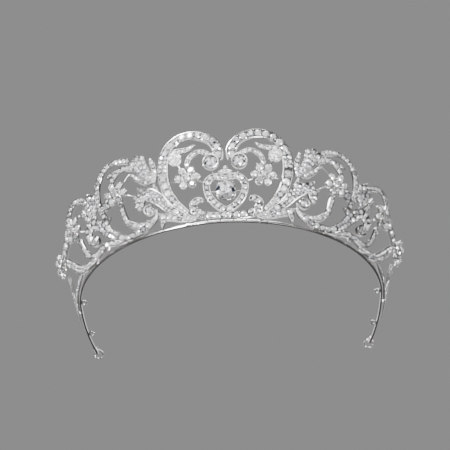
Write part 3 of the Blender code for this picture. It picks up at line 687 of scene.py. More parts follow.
def setting_tree():
    """Sets a shape at every place, turned and sized by the place's own attributes."""
    tree = bpy.data.node_groups.get("set_in_places")
    if tree:
        return tree
    tree = bpy.data.node_groups.new("set_in_places", "GeometryNodeTree")
    for label, kind in (
        ("Places", "Geometry"), ("Shape", "Object"), ("Size", "Float"), ("Spin", "Float"),
        ("Tilt", "Float"), ("Seed", "Int"), ("Finish", "Material"),
    ):
        tree.interface.new_socket(label, in_out="INPUT", socket_type="NodeSocket" + kind)
    tree.interface.new_socket("Set", in_out="OUTPUT", socket_type="NodeSocketGeometry")
    nodes, link = tree.nodes, tree.links.new
    given = nodes.new("NodeGroupInput")
    euler = nodes.new("FunctionNodeEulerToRotation")
    link(named_attribute(nodes, "turn", "FLOAT_VECTOR"), euler.inputs["Euler"])
    size = add(nodes, "ShaderNodeMath", operation="MULTIPLY")
    link(named_attribute(nodes, "reach", "FLOAT"), size.inputs[0])
    link(given.outputs["Size"], size.inputs[1])
    shape = nodes.new("GeometryNodeObjectInfo")
    link(given.outputs["Shape"], shape.inputs["Object"])
    points = nodes.new("GeometryNodeMeshToPoints")
    link(given.outputs["Places"], points.inputs["Mesh"])
    setter = nodes.new("GeometryNodeInstanceOnPoints")
    link(points.outputs["Points"], setter.inputs["Points"])
    link(shape.outputs["Geometry"], setter.inputs["Instance"])
    link(euler.outputs["Rotation"], setter.inputs["Rotation"])
    link(size.outputs["Value"], setter.inputs["Scale"])
    spin = add(nodes, "FunctionNodeRandomValue", data_type="FLOAT")
    link(given.outputs["Spin"], enabled(spin.inputs, "Max"))
    link(given.outputs["Seed"], spin.inputs["Seed"])
    about = nodes.new("ShaderNodeCombineXYZ")
    link(enabled(spin.outputs, "Value"), about.inputs["Z"])
    least = add(nodes, "ShaderNodeMath", operation="MULTIPLY")
    link(given.outputs["Tilt"], least.inputs[0])
    least.inputs[1].default_value = -1.0
    for extra, axis in enumerate("XY"):
        later = add(nodes, "FunctionNodeInputInt", integer=11 + extra)
        tilt = add(nodes, "FunctionNodeRandomValue", data_type="FLOAT")
        link(least.outputs["Value"], enabled(tilt.inputs, "Min"))
        link(given.outputs["Tilt"], enabled(tilt.inputs, "Max"))
        link(later.outputs["Integer"], tilt.inputs["Seed"])
        link(enabled(tilt.outputs, "Value"), about.inputs[axis])
    turned = nodes.new("GeometryNodeRotateInstances")
    turned.inputs["Local Space"].default_value = True
    link(setter.outputs["Instances"], turned.inputs["Instances"])
    link(about.outputs["Vector"], turned.inputs["Rotation"])
    tone = add(nodes, "FunctionNodeRandomValue", data_type="FLOAT")
    link(given.outputs["Seed"], tone.inputs["Seed"])
    store = add(nodes, "GeometryNodeStoreNamedAttribute", data_type="FLOAT", domain="INSTANCE")
    store.inputs["Name"].default_value = "tone"
    link(turned.outputs["Instances"], store.inputs["Geometry"])
    link(enabled(tone.outputs, "Value"), store.inputs["Value"])
    real = nodes.new("GeometryNodeRealizeInstances")
    link(store.outputs["Geometry"], real.inputs["Geometry"])
    finish = nodes.new("GeometryNodeSetMaterial")
    link(real.outputs["Geometry"], finish.inputs["Geometry"])
    link(given.outputs["Finish"], finish.inputs["Material"])
    made = nodes.new("NodeGroupOutput")
    link(finish.outputs["Geometry"], made.inputs["Set"])
    return tree


def set_in_places(name, places, shape, finish, spin, tilt, seed):
    """The plain mesh of one shape set in many places, each a frame and a radius."""
    cloud = bpy.data.meshes.new(name + "_places")
    cloud.from_pydata([here.translation for here, _ in places], [], [])
    cloud.attributes.new("turn", "FLOAT_VECTOR", "POINT")
    cloud.attributes.new("reach", "FLOAT", "POINT")
    for i, (here, radius) in enumerate(places):
        cloud.attributes["turn"].data[i].vector = here.normalized().to_euler()
        cloud.attributes["reach"].data[i].value = radius * MM
    holder = bpy.data.objects.new(name + "_places", cloud)
    bpy.context.scene.collection.objects.link(holder)
    tree = setting_tree()
    change = holder.modifiers.new("set", "NODES")
    change.node_group = tree
    values = {"Shape": unit(shape), "Size": 1.0, "Spin": spin, "Tilt": tilt, "Seed": seed, "Finish": finish}
    for socket in tree.interface.items_tree:
        if socket.in_out == "INPUT" and socket.name in values:
            change[socket.identifier] = values[socket.name]
    bpy.context.view_layer.update()
    mesh = bpy.data.meshes.new_from_object(holder.evaluated_get(bpy.context.evaluated_depsgraph_get()))
    bpy.data.objects.remove(holder)
    for spent in ("turn", "reach"):
        if mesh.attributes.get(spent):
            mesh.attributes.remove(mesh.attributes[spent])
    if not mesh.polygons:
        raise RuntimeError(f"{name} has no {shape}")
    return mesh


# --- Finishes ------------------------------------------------------------------------------

def shader_group(name, inputs, outputs):
    """An empty shader group with its named sockets, and its two end nodes."""
    tree = bpy.data.node_groups.new(name, "ShaderNodeTree")
    for direction, sockets in (("INPUT", inputs), ("OUTPUT", outputs)):
        for label, kind in sockets:
            tree.interface.new_socket(label, in_out=direction, socket_type="NodeSocket" + kind)
    return tree, tree.nodes.new("NodeGroupInput"), tree.nodes.new("NodeGroupOutput")


def noise(nodes, links, scale, detail=2.0):
    """Noise on the piece's own coordinates; the scale is in features to the metre."""
    where = nodes.new("ShaderNodeTexCoord")
    made = nodes.new("ShaderNodeTexNoise")
    made.inputs["Scale"].default_value = scale
    made.inputs["Detail"].default_value = detail
    links.new(where.outputs["Object"], made.inputs["Vector"])
    return made.outputs["Fac"]


def math_node(nodes, links, operation, first, second):
    made = nodes.new("ShaderNodeMath")
    made.operation = operation
    for socket, value in zip(made.inputs, (first, second)):
        if isinstance(value, float):
            socket.default_value = value
        else:
            links.new(value, socket)
    return made.outputs["Value"]


def mix_colour(nodes, links, share, first, second):
    made = nodes.new("ShaderNodeMix")
    made.data_type = "RGBA"
    links.new(share, made.inputs["Factor"])
    links.new(first, made.inputs["A"])
    links.new(second, made.inputs["B"])
    return made.outputs["Result"]


def wear_and_shade_group():
    """Plated metal: painted shade in the recesses, uneven polish, fine marks and a soft unevenness."""
    found = bpy.data.node_groups.get("plate_wear_and_painted_shade")
    if found:
        return found
    tree, given, made = shader_group(
        "plate_wear_and_painted_shade",
        (("Bright", "Color"), ("Shadow", "Color"), ("Recess", "Float"), ("Smooth", "Float")),
        (("Colour", "Color"), ("Roughness", "Float"), ("Height", "Float")),
    )
    nodes, links = tree.nodes, tree.links
    patches = noise(nodes, links, 260.0)
    marks = noise(nodes, links, 2600.0, 4.0)
    # Colour: random tarnish patches, plus painted shade where the recess mask darkens the plate towards the
    # shadow colour.
    tarnish = math_node(nodes, links, "MULTIPLY", patches, 0.16)
    depth = math_node(nodes, links, "MULTIPLY", given.outputs["Recess"], 0.8)
    share = math_node(nodes, links, "ADD", tarnish, depth)
    links.new(
        mix_colour(nodes, links, share, given.outputs["Bright"], given.outputs["Shadow"]),
        made.inputs["Colour"],
    )
    uneven = math_node(nodes, links, "MULTIPLY", marks, 0.14)
    dull = math_node(nodes, links, "MULTIPLY", given.outputs["Recess"], 0.25)
    rough = math_node(nodes, links, "ADD", given.outputs["Smooth"], uneven)
    links.new(math_node(nodes, links, "ADD", rough, dull), made.inputs["Roughness"])
    links.new(marks, made.inputs["Height"])
    return tree


def painted_reflection_group():
    """Cut stone with painted reflections: each facet shows its own painted share of white and grey, and no
    two stones agree.
    """
    found = bpy.data.node_groups.get("facet_painted_reflections")
    if found:
        return found
    tree, given, made = shader_group(
        "facet_painted_reflections",
        (("White", "Color"), ("Grey", "Color"), ("Facet", "Float"), ("Tone", "Float")),
        (("Colour", "Color"), ("Roughness", "Float")),
    )
    nodes, links = tree.nodes, tree.links
    fine_reflection_noise = noise(nodes, links, 900.0, 1.0)
    # Painted reflections: the facet tone, deepened on some stones, and a fine speckle mix the white towards
    # the grey; stones with a high random tone are painted darker all over.
    lift = math_node(nodes, links, "MULTIPLY", given.outputs["Tone"], 0.8)
    deep = math_node(nodes, links, "ADD", lift, 0.6)
    dark = math_node(nodes, links, "MULTIPLY", given.outputs["Facet"], deep)
    past = math_node(nodes, links, "SUBTRACT", given.outputs["Tone"], 0.55)
    painted_dim_stones = math_node(nodes, links, "MAXIMUM", past, 0.0)
    cloud = math_node(nodes, links, "ADD", math_node(nodes, links, "MULTIPLY", fine_reflection_noise, 0.1), painted_dim_stones)
    share = math_node(nodes, links, "ADD", dark, cloud)
    links.new(
        mix_colour(nodes, links, share, given.outputs["White"], given.outputs["Grey"]),
        made.inputs["Colour"],
    )
    links.new(math_node(nodes, links, "MULTIPLY", fine_reflection_noise, 0.12), made.inputs["Roughness"])
    return tree


def attribute(nodes, name):
    made = nodes.new("ShaderNodeAttribute")
    made.attribute_name = name
    return made.outputs["Fac"]


def new_finish(name, group, colours, attributes, values):
    """A material whose group reads the mesh's attributes and feeds a Principled BSDF."""
    material = bpy.data.materials.new(name)
    material.use_nodes = True
    nodes, links = material.node_tree.nodes, material.node_tree.links
    shader = nodes["Principled BSDF"]
    effect = nodes.new("ShaderNodeGroup")
    effect.node_tree = group
    for label, colour in colours.items():
        effect.inputs[label].default_value = (*colour, 1.0)
    for label, source in attributes.items():
        links.new(attribute(nodes, source), effect.inputs[label])
    links.new(effect.outputs["Colour"], shader.inputs["Base Color"])
    links.new(effect.outputs["Roughness"], shader.inputs["Roughness"])
    for label, value in values.items():
        shader.inputs[label].default_value = value
    return material, effect


def metal_finish():
    """Bright white plate, polished on the edges, with painted shade between the stones."""
    found = bpy.data.materials.get("white_plate")
    if found:
        return found
    look = bpy.context.scene.tiara_metal
    material, effect = new_finish(
        "white_plate", wear_and_shade_group(),
        {"Bright": look.colour, "Shadow": look.shadow}, {"Recess": "recess"},
        {"Metallic": 1.0},
    )
    effect.inputs["Smooth"].default_value = look.roughness
    nodes, links = material.node_tree.nodes, material.node_tree.links
    bump = nodes.new("ShaderNodeBump")
    bump.inputs["Strength"].default_value = 0.12
    bump.inputs["Distance"].default_value = 0.00004
    links.new(effect.outputs["Height"], bump.inputs["Height"])
    links.new(bump.outputs["Normal"], nodes["Principled BSDF"].inputs["Normal"])
    return material


def back_finish():
    """The same plate behind the stones, where the facet value marks the open holes, which are given painted
    shade in the recess colour.
    """
    found = bpy.data.materials.get("open_back_plate")
    if found:
        return found
    look = bpy.context.scene.tiara_metal
    material, effect = new_finish(
        "open_back_plate", wear_and_shade_group(),
        {"Bright": look.colour, "Shadow": look.shadow}, {"Recess": "facet"},
        {"Metallic": 1.0},
    )
    effect.inputs["Smooth"].default_value = look.roughness
    return material


def stone_finish():
    """Clear cut stone with painted reflections: white and grey facets painted as the light it returns, and
    a hard shine from the coat.
    """
    found = bpy.data.materials.get("clear_stone")
    if found:
        return found
    look = bpy.context.scene.tiara_stones
    return new_finish(
        "clear_stone", painted_reflection_group(),
        {"White": look.white, "Grey": look.grey}, {"Facet": "facet", "Tone": "tone"},
        {"Metallic": 0.35, "IOR": 2.1, "Coat Weight": 0.6, "Coat Roughness": 0.02},
    )[0]


# --- Finished pieces -----------------------------------------------------------------------

def show(name, mesh, nodes=(), body=MAIN_BODY):
    """Put a finished mesh in the scene, on its body and in place of its CAD nodes."""
    mesh.name = name
    made = bpy.data.objects.new(name, mesh)
    bpy.context.scene.collection.objects.link(made)
    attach(made, body)
    if nodes:
        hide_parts(*nodes)
    return made


def flipped(mesh):
    """The same mesh on the other side of the tiara."""
    other = mesh.copy()
    other.transform(Matrix.Scale(-1.0, 4, (1.0, 0.0, 0.0)))
    other.flip_normals()
    return other


def metal_mesh(job, name):
    mesh = bpy.data.meshes.new(name)
    job.metal.to_mesh(mesh)
    mesh.shade_smooth()
    mesh.set_sharp_from_angle(angle=math.radians(38.0))
    mesh.materials.append(metal_finish())
    return mesh


def parts_of(job, name):
    """The meshes of a job, by what they are, with the slot of each."""
    sizes = bpy.context.scene.tiara_stones
    found = []
    if job.metal.verts:
        found.append(("metal", "white_metal", metal_mesh(job, name)))
    job.metal.free()
    for kind, places, shape, finish, slot, spin, tilt in (
        ("stones", job.stones, "small_stone", stone_finish, "crystal", math.tau, sizes.tilt),
        ("cut", job.cut_stones, "cut_stone", stone_finish, "crystal", math.tau / 8, 0.0),
        ("beads", job.beads, "bead", metal_finish, "white_metal", math.tau, 0.0),
        ("backs", job.backs, "open_back", back_finish, "white_metal", 0.0, 0.0),
    ):
        if places:
            mesh = set_in_places(f"{name}_{kind}", places, shape, finish(), spin, tilt, sizes.seed)
            found.append((kind, slot, mesh))
    return found


def deliver(job, node, sides=("right", "left")):
    """Show a job's parts once for each side, or once in the middle; the first takes the node."""
    for i, (kind, slot, mesh) in enumerate(parts_of(job, node)):
        for side in sides:
            tail = f"_{side}" if side else ""
            nodes = [node + tail] if i == 0 and node + tail in frame["nodes"] else []
            made = flipped(mesh) if side == "left" else mesh
            show(f"{node}_{kind}{tail}", made, nodes)


# --- Shared settings -----------------------------------------------------------------------

def bezel(job, spot, radius):
    """A smooth tapered cup with a rolled rim."""
    here = place(spot, PLATE_BACK)
    inner = radius - BEZEL_WALL
    top = BEZEL_HEIGHT
    job.turned(here, [
        (inner, top - 0.08), (inner + 0.08, top), (radius - 0.22, top + 0.04), (radius - 0.06, top - 0.06),
        (radius, top - 0.3), (radius - 0.06, top - 0.8), (radius - 0.22, 0.5), (radius - 0.3, 0.12),
        (radius - 0.42, 0.0), (inner - 0.5, 0.0), (inner - 0.5, 0.25), (inner - 0.05, top - 0.9),
    ], 48)


def bezel_stone(job, spot, radius):
    here = place(spot, PLATE_BACK + BEZEL_HEIGHT - 0.3 * radius)
    job.cut_stones.append((here, radius - BEZEL_WALL - 0.12))


def set_eye(name, spot, radius):
    """A bezel and its stone, each a sub-part."""
    job = Job()
    bezel(job, spot, radius)
    deliver(job, name + "_bezel")
    job = Job()
    bezel_stone(job, spot, radius)
    deliver(job, name + "_stone")


def cup(job, here, radius, height, foot=0.0):
    """A small round setting for one stone."""
    job.turned(here, [
        (radius - 0.32, height - 0.1), (radius - 0.24, height), (radius - 0.08, height),
        (radius, height - 0.1), (radius - 0.04, height * 0.5), (radius - 0.2, foot),
        (radius - 0.5, foot), (radius - 0.45, foot + 0.3),
    ], 20)


def fill_outline(job, here, outline, radius, top, covers=()):
    """Stones in a close honeycomb over a plate, with beads between them."""
    sizes = bpy.context.scene.tiara_stones
    pitch = radius * 2.04
    count = len(outline)
    for row in range(-4, 5):
        for column in range(-4, 5):
            for kind, shift in (("stones", 0.0), ("beads", 0.5)):
                across = (column + row / 2 + shift) * pitch
                spot = Vector((across, (row * 0.87 + shift * 0.58) * pitch))
                edge = outline[round(math.atan2(spot.y, spot.x) / math.tau * count) % count].length
                if spot.length + (radius * 0.85 if kind == "stones" else 0.2) > edge:
                    continue
                if kind == "stones":
                    job.stones.append((here @ Matrix.Translation((*spot, top - 0.02)), radius * sizes.fill))
                else:
                    job.beads.append((here @ Matrix.Translation((*spot, top)), sizes.bead * 0.8))


def flower(node, spot, turn, wires):
    """Six round stones about a seventh, each in its own cup with beads for claws."""
    job = Job()
    here = place(spot, RAISED_BACK)
    lobes = []
    for i in range(6):
        angle = math.radians(turn) + math.tau * i / 6
        ray = Vector((math.cos(angle), math.sin(angle), 0.0))
        lobes.append((ray.x * PETAL_CIRCLE, ray.y * PETAL_CIRCLE, 1.25))
        petal = here @ Matrix.Translation(ray * PETAL_CIRCLE) @ Matrix.Rotation(angle, 4, "Z")
        cup(job, petal, PETAL_STONE + 0.2, 1.15)
        job.stones.append((petal @ Matrix.Translation((0.0, 0.0, 1.16)), PETAL_STONE))
        for side in (45.0, 135.0, 225.0, 315.0):
            claw = Vector((math.cos(math.radians(side)), math.sin(math.radians(side)), 0.0)) * 1.58
            job.beads.append((petal @ Matrix.Translation(claw + Vector((0.0, 0.0, 1.22))), 0.30))
        tip = petal @ Matrix.Translation((PETAL_STONE + 0.36, 0.0, 0.85))
        job.beads.append((tip, 0.40))
        between = angle + math.tau / 12
        claw = Vector((math.cos(between), math.sin(between), 0.0)) * 2.12
        job.beads.append((here @ Matrix.Translation(claw + Vector((0.0, 0.0, 1.5))), 0.36))
    job.plate(here, lobed(lobes, FLOWER_CORE - 0.5, 84), 0.0, 0.5)
    cup(job, here, FLOWER_STONE + 0.22, 1.45)
    job.cut_stones.append((here @ Matrix.Translation((0.0, 0.0, 1.5)), FLOWER_STONE))
    for end in wires:
        middle, far = Vector(spot), Vector(end)
        path = [(0.3, 2.8), (0.6, 2.85), (0.9, 2.75), (1.0, 2.2)]
        spots = [place(middle.lerp(far, share), depth).translation for share, depth in path]
        job.rod(spots, [0.33, 0.33, 0.33, 0.36])
    deliver(job, node)


# --- The groups of pieces ------------------------------------------------------------------

def make_heart():
    job = Job()
    half = smooth_line(HEART)
    other = [Vector((-spot.x, spot.y, spot.z)) for spot in half]
    for line in (half, other):
        track = Track(line, PLATE_TOP, True)
        job.band(track, HEART_RIM, CHANNEL)
        pave(job, track, ((0.0, 1),), HEART_RIM, ())
    for side in (-1, 1):
        spots = [place((side * s, h), 1.5).translation for s, h, _ in CREST_POST]
        job.rod(spots, [0.35, 0.35])
    deliver(job, "heart_frame", ("",))
    job = Job()
    here = place(HEART_EYE, PLATE_BACK + 0.6)
    reach = HEART_STONE + 0.55
    job.hoop(here @ Matrix.Translation((0.0, 0.0, 0.35)), HEART_STONE - 0.1, 0.34, 48)
    job.hoop(here @ Matrix.Translation((0.0, 0.0, -0.55)), HEART_STONE - 1.5, 0.3, 48)
    for i in range(4):
        angle = math.tau * (i + 0.5) / 4
        ray = Vector((math.cos(angle), math.sin(angle), 0.0))
        path = ((3.0, -0.55, 0.3), (4.4, 0.2, 0.4), (reach, 1.2, 0.48), (reach, 2.1, 0.52),
                (reach - 0.25, 2.65, 0.56), (reach - 0.75, 2.95, 0.50), (reach - 1.1, 3.0, 0.26))
        spots = [here @ (ray * out + Vector((0.0, 0.0, z))) for out, z, _ in path]
        job.rod(spots, [radius for _, _, radius in path], 12)
    for side in (-1, 1):
        job.rod([here @ Vector((side * x, 0.0, -0.1)) for x in (4.4, 7.4)], [0.34, 0.34])
    deliver(job, "heart_setting", ("",))
    job = Job()
    job.cut_stones.append((here @ Matrix.Translation((0.0, 0.0, HEART_GIRDLE)), HEART_STONE))
    deliver(job, "heart_stone", ("",))
    job = Job()
    here = place(TREFOIL, PLATE_BACK)
    for x, y, radius in ((0.0, 1.5, 1.1), (-1.75, -0.5, 1.15), (1.75, -0.5, 1.15)):
        seat = here @ Matrix.Translation((x, y, 0.0))
        cup(job, seat, radius + 0.08, 1.15)
        job.stones.append((seat @ Matrix.Translation((0.0, 0.0, 1.16)), radius - 0.08))
    claws = [(0.0, 2.85), (0.0, 0.1), (0.0, -1.2)]
    for side in (-1, 1):
        claws += [(side * 3.0, -0.5), (side * 0.95, 0.75)]
    for x, y in claws:
        job.beads.append((here @ Matrix.Translation((x, y, 1.0)), 0.36))
    job.plate(here, lobed([(0.0, 1.5, 0.8), (-1.75, -0.5, 0.8), (1.75, -0.5, 0.8)], 1.2, 48), 0.0, 0.5)
    deliver(job, "trefoil_finial", ("",))


def make_crest():
    eye = round_cover(CREST_EYE, CREST_RADIUS)
    scroll, heart = covers_of(CREST_SCROLL, HEART)
    lone_band("crest_scroll", CREST_SCROLL, ((0.0, 1), (0.36, 2), (0.47, 1)), [eye], rim=0.4)
    set_eye("crest", CREST_EYE, CREST_RADIUS)
    lone_band("tendril", TENDRIL, 1, [eye, scroll], 1, end=True)
    job = Job()
    here = place(BUD, PLATE_BACK - LEVEL_DROP)
    outline = lobed([(-1.2, 0.9, 2.1), (-1.0, -1.1, 2.1), (1.4, 2.0, 2.0)], 3.0, 60)
    job.plate(here, outline, 0.0, PLATE_TOP - PLATE_BACK)
    fill_outline(job, here, outline, 1.0, PLATE_TOP - PLATE_BACK)
    lay(job, CREST_LEAF, 1, [scroll, round_cover(BUD, 1.6)], 2)
    deliver(job, "crest_leaf")
    lone_band("base_curl", BASE_CURL, (), [scroll, heart], 1, rim=0.3, end=True)


def make_wing():
    eye = round_cover(WING_EYE, EYE_RADIUS)
    scroll, curl, stem, side_stem = covers_of(CREST_SCROLL, BASE_CURL, WING_STEM, SIDE_STEM)
    leaves = covers_of(*WING_STEM_LEAVES)
    fingers = covers_of(*FAN_FINGERS)
    job = Job()
    lay(job, WING_STEM, (), [scroll, curl, eye], 1, end=True)
    for points in WING_STEM_LEAVES:
        lay(job, points, 1, [stem], 2, rim=0.2)
    deliver(job, "wing_stem")
    set_eye("wing", WING_EYE, EYE_RADIUS)
    job = Job()
    lay(job, LOW_LEAF, 1, [stem, curl, side_stem], 2)
    for points in LOW_LEAF_LEAVES:
        lay(job, points, 1, covers_of(LOW_LEAF), 3, rim=0.2)
    deliver(job, "low_leaf")
    job = Job()
    for i, points in enumerate((*FAN_FINGERS, WING_LEAF, WING_LEAF_TIP)):
        others = fingers[:i] if i < len(fingers) else fingers
        lay(job, points, 1, [scroll, *leaves, *others], 1 + i % 2, rim=0.2, end=True)
    deliver(job, "wing_fan")
    lone_band("wing_arch", WING_ARCH, 1, [*fingers[1:4], side_stem], 2)
    lone_band("wing_hook", WING_HOOK, 1, [side_stem, eye], 2, end=True)
    job = Job()
    here = place(PEAR, PLATE_BACK - 2 * LEVEL_DROP)
    points = []
    for i in range(48):
        angle = math.tau * i / 48
        width = 3.1 * math.sin(angle) * abs(math.sin(angle / 2)) ** 0.9
        points.append(Vector((3.0 * math.cos(angle), width)))
    job.plate(here, points, 0.0, PLATE_TOP - PLATE_BACK, 0.4, 0.3)
    job.cut_stones.append((here @ Matrix.Translation((-0.75, 0.0, 1.15)), 1.85))
    job.stones.append((here @ Matrix.Translation((1.65, 0.0, 1.15)), 0.55))
    for x, y in ((0.75, 1.15), (0.75, -1.15), (-2.2, 1.4), (-2.2, -1.4)):
        job.beads.append((here @ Matrix.Translation((x, y, 1.2)), 0.3))
    deliver(job, "wing_pear")


def make_side():
    wing_eye = round_cover(WING_EYE, EYE_RADIUS)
    eye = round_cover(SIDE_EYE, EYE_RADIUS)
    stem, arch, end, low = covers_of(SIDE_STEM, WING_ARCH, END_STEM, SIDE_LOW_LEAF)
    fingers = covers_of(*SIDE_FAN_FINGERS)
    job = Job()
    lay(job, SIDE_STEM, (), [wing_eye, eye], 1, end=True)
    for points in SIDE_STEM_LEAVES:
        lay(job, points, 1, [stem], 2, rim=0.2)
    deliver(job, "side_stem")
    job = Job()
    bezel(job, SIDE_EYE, EYE_RADIUS)
    bezel_stone(job, SIDE_EYE, EYE_RADIUS)
    deliver(job, "side_bezel")
    job = Job()
    for i, points in enumerate(SIDE_FAN_FINGERS):
        lay(job, points, 1, [stem, arch, *fingers[:i]], 1 + i % 2, rim=0.24, end=True)
    lay(job, SIDE_ARCH, 1, [stem, *fingers], 2, end=True)
    deliver(job, "side_arch")
    lone_band("side_hook", SIDE_HOOK, 1, [low, end, eye], 3, end=True)
    job = Job()
    lay(job, END_STEM, 2, [stem], 2)
    lay(job, SIDE_LOW_LEAF, 1, [stem, end], 3)
    for points in SIDE_LOW_LEAF_LEAVES:
        lay(job, points, 1, [low], 3, rim=0.2)
    deliver(job, "end_stem")
    job = Job()
    lay(job, SPRAY_INNER, 1, [end], 3)
    lay(job, SPRAY_OUTER, 1, covers_of(SPRAY_INNER), 3)
    bead_place = place(SPRAY_OUTER[-1], PLATE_TOP - 4 * LEVEL_DROP)
    job.cut_stones.append((bead_place @ Matrix.Translation((0.0, 0.0, 0.2)), 1.25))
    job.hoop(bead_place, 1.2, 0.25, 24)
    tail = [place(spot, 1.2).translation for spot in SPRAY_TAIL]
    job.rod(tail, [0.5, 0.42, 0.3])
    deliver(job, "end_spray")


def make_flowers():
    flower("crest_flower", CREST_FLOWER, 0.0, FLOWER_WIRES["crest_flower"])
    flower("wing_flower", WING_FLOWER, 11.0, FLOWER_WIRES["wing_flower"])
    flower("side_flower", SIDE_FLOWER, 20.0, FLOWER_WIRES["side_flower"])
    flower("end_flower", END_FLOWER, 5.0, END_WIRES)


def rail(job, start, end, half=0.5, height=1.4, low=0.0, soft=0.28):
    """A length of the band, upright, with soft corners."""
    profile = []
    corners = ((half, height), (-half, height), (-half, low), (half, low))
    for (x, z), angle in zip(corners, (0.0, 90.0, 180.0, 270.0)):
        for turn in (0.0, 45.0, 90.0):
            a = math.radians(angle + turn)
            corner = (x - math.copysign(soft, x), z - soft if z > low else z + soft)
            profile.append((corner[0] + soft * math.cos(a), corner[1] + soft * math.sin(a)))
    count = max(4, round(abs(end - start) / 1.5))
    rings = []
    for i in range(count + 1):
        here = rail_place(start + (end - start) * i / count, 0.0)
        rings.append([here @ Vector((0.0, z, x)) for x, z in profile])
    job.loft(rings)


def solder_foot(job, s, height, depth):
    """A short post of solder from the band up to the pattern."""
    spots = [rail_place(s, 1.1).translation, place((s, height), depth).translation]
    job.rod(spots, [0.45, 0.4])


def make_band():
    gap = 0.15
    job = Job()
    rail(job, -SLEEVE_START + gap, SLEEVE_START - gap)
    for side in (-1, 1):
        for s in (3.0, 9.0):
            solder_foot(job, side * s, 1.6, 1.4)
    deliver(job, "rail_centre", ("",))
    job = Job()
    rail(job, SLEEVE_START + SLEEVE_LENGTH + gap, RAIL_HALF_LENGTH)
    for s, h in SOLDER_FEET:
        solder_foot(job, s, h, 1.3)
    for s in LOOP_PLACES:
        point, out = plan(s)
        reach = 0.2 + LOOP_RADIUS + LOOP_WIRE
        level = Matrix.Translation((point - out * reach + UP * 0.7) * MM) @ Matrix.Scale(MM, 4)
        job.hoop(level, LOOP_RADIUS, LOOP_WIRE)
    job.hoop(rail_place(RAIL_HALF_LENGTH, EYE_HEIGHT), END_EYE_RADIUS, END_EYE_WIRE)
    deliver(job, "rail")
    job = Job()
    low = 0.0
    for start, length, size in ((0.0, 0.9, 0.9), (0.8, 2.2, 0.78), (2.9, 0.9, 0.9)):
        s = SLEEVE_START + start
        rail(job, s, s + length, size, 2 * size, low, 0.62)
    deliver(job, "sleeve")


def make_rings():
    """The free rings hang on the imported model's own hinges."""
    for joint in frame["joints"]:
        node = joint["child"]
        low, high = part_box(node)
        hinge = Vector(joint["pos_m"])
        axis = Vector(joint["axis"]).normalized()
        reach = (low + high) / 2 - hinge
        reach -= axis * reach.dot(axis)
        reach = reach.normalized()
        centre = hinge / MM + reach * RING_RADIUS
        job = Job()
        job.hoop(frame_of(centre, axis, reach, axis.cross(reach)), RING_RADIUS, RING_WIRE, 48, 12)
        mesh = parts_of(job, node)[0][2]
        show(node + "_wire", mesh, [node], node)


# --- Settings that a user would change -----------------------------------------------------

class TiaraMetal(bpy.types.PropertyGroup):
    colour: FloatVectorProperty(
        name="Plate", description="Colour of the polished plate", subtype="COLOR",
        default=(0.90, 0.89, 0.87), min=0.0, max=1.0,
    )
    # The recess colour is painted shade between the stones, not a colour of the plate.
    shadow: FloatVectorProperty(
        name="Recess", description="Colour of the plate between the stones", subtype="COLOR",
        default=(0.035, 0.034, 0.034), min=0.0, max=1.0,
    )
    roughness: FloatProperty(
        name="Roughness", description="Roughness of the polished plate", default=0.12, min=0.0, max=1.0,
    )
    rim: FloatProperty(
        name="Rim", description="Width of the bright rim beside a row of stones, in millimetres",
        default=0.26, min=0.1, max=1.0,
    )


class TiaraStones(bpy.types.PropertyGroup):
    # Both facet colours are painted reflections: the stone's light and dark painted into its colour.
    white: FloatVectorProperty(
        name="Bright facets", description="Colour of the facets that return light", subtype="COLOR",
        default=(0.97, 0.98, 1.0), min=0.0, max=1.0,
    )
    grey: FloatVectorProperty(
        name="Dark facets", description="Colour of the facets that don't", subtype="COLOR",
        default=(0.03, 0.035, 0.05), min=0.0, max=1.0,
    )
    fill: FloatProperty(
        name="Fill", description="Share of its seat that a stone fills", default=0.96, min=0.7, max=1.05,
    )
    bead: FloatProperty(
        name="Bead", description="Radius of a setting bead, in millimetres", default=0.21, min=0.1, max=0.6,
    )
    tilt: FloatProperty(
        name="Tilt", description="How far a stone may sit off level", subtype="ANGLE",
        default=math.radians(7.0), min=0.0, max=0.5,
    )
    seed: IntProperty(name="Seed", description="Seed of the stones' turns and tones", default=7)


class TiaraStage(bpy.types.PropertyGroup):
    floor: FloatVectorProperty(
        name="Floor", description="Colour of the floor", subtype="COLOR",
        default=(0.78, 0.78, 0.77), min=0.0, max=1.0,
    )
    light: FloatProperty(
        name="Light", description="Strength of all the lamps together", default=1.0, min=0.0, max=10.0,
    )
    elevation: FloatProperty(
        name="Elevation", description="Height of the view above the band's plane", subtype="ANGLE",
        default=math.radians(-45.0),
    )
    distance: FloatProperty(
        name="Distance", description="Distance of the camera", subtype="DISTANCE", unit="LENGTH",
        default=0.8, min=0.1,
    )


class TIARA_OT_heart(bpy.types.Operator):
    """Build the heart, its claw-set stone and the finial"""

    bl_idname = "tiara.heart"
    bl_label = "Heart"
    bl_options = {"REGISTER", "UNDO"}

    def execute(self, context):
        make_heart()
        return {"FINISHED"}


class TIARA_OT_crest(bpy.types.Operator):
    """Build the crest scrolls and what hangs in them"""

    bl_idname = "tiara.crest"
    bl_label = "Crest Scrolls"
    bl_options = {"REGISTER", "UNDO"}

    def execute(self, context):
        make_crest()
        return {"FINISHED"}


class TIARA_OT_wing(bpy.types.Operator):
    """Build the wings: stems, fans, arches and hooks"""

    bl_idname = "tiara.wing"
    bl_label = "Wings"
    bl_options = {"REGISTER", "UNDO"}

    def execute(self, context):
        make_wing()
        return {"FINISHED"}


class TIARA_OT_side(bpy.types.Operator):
    """Build the sides and the sprays that end them"""

    bl_idname = "tiara.side"
    bl_label = "Sides"
    bl_options = {"REGISTER", "UNDO"}

    def execute(self, context):
        make_side()
        return {"FINISHED"}


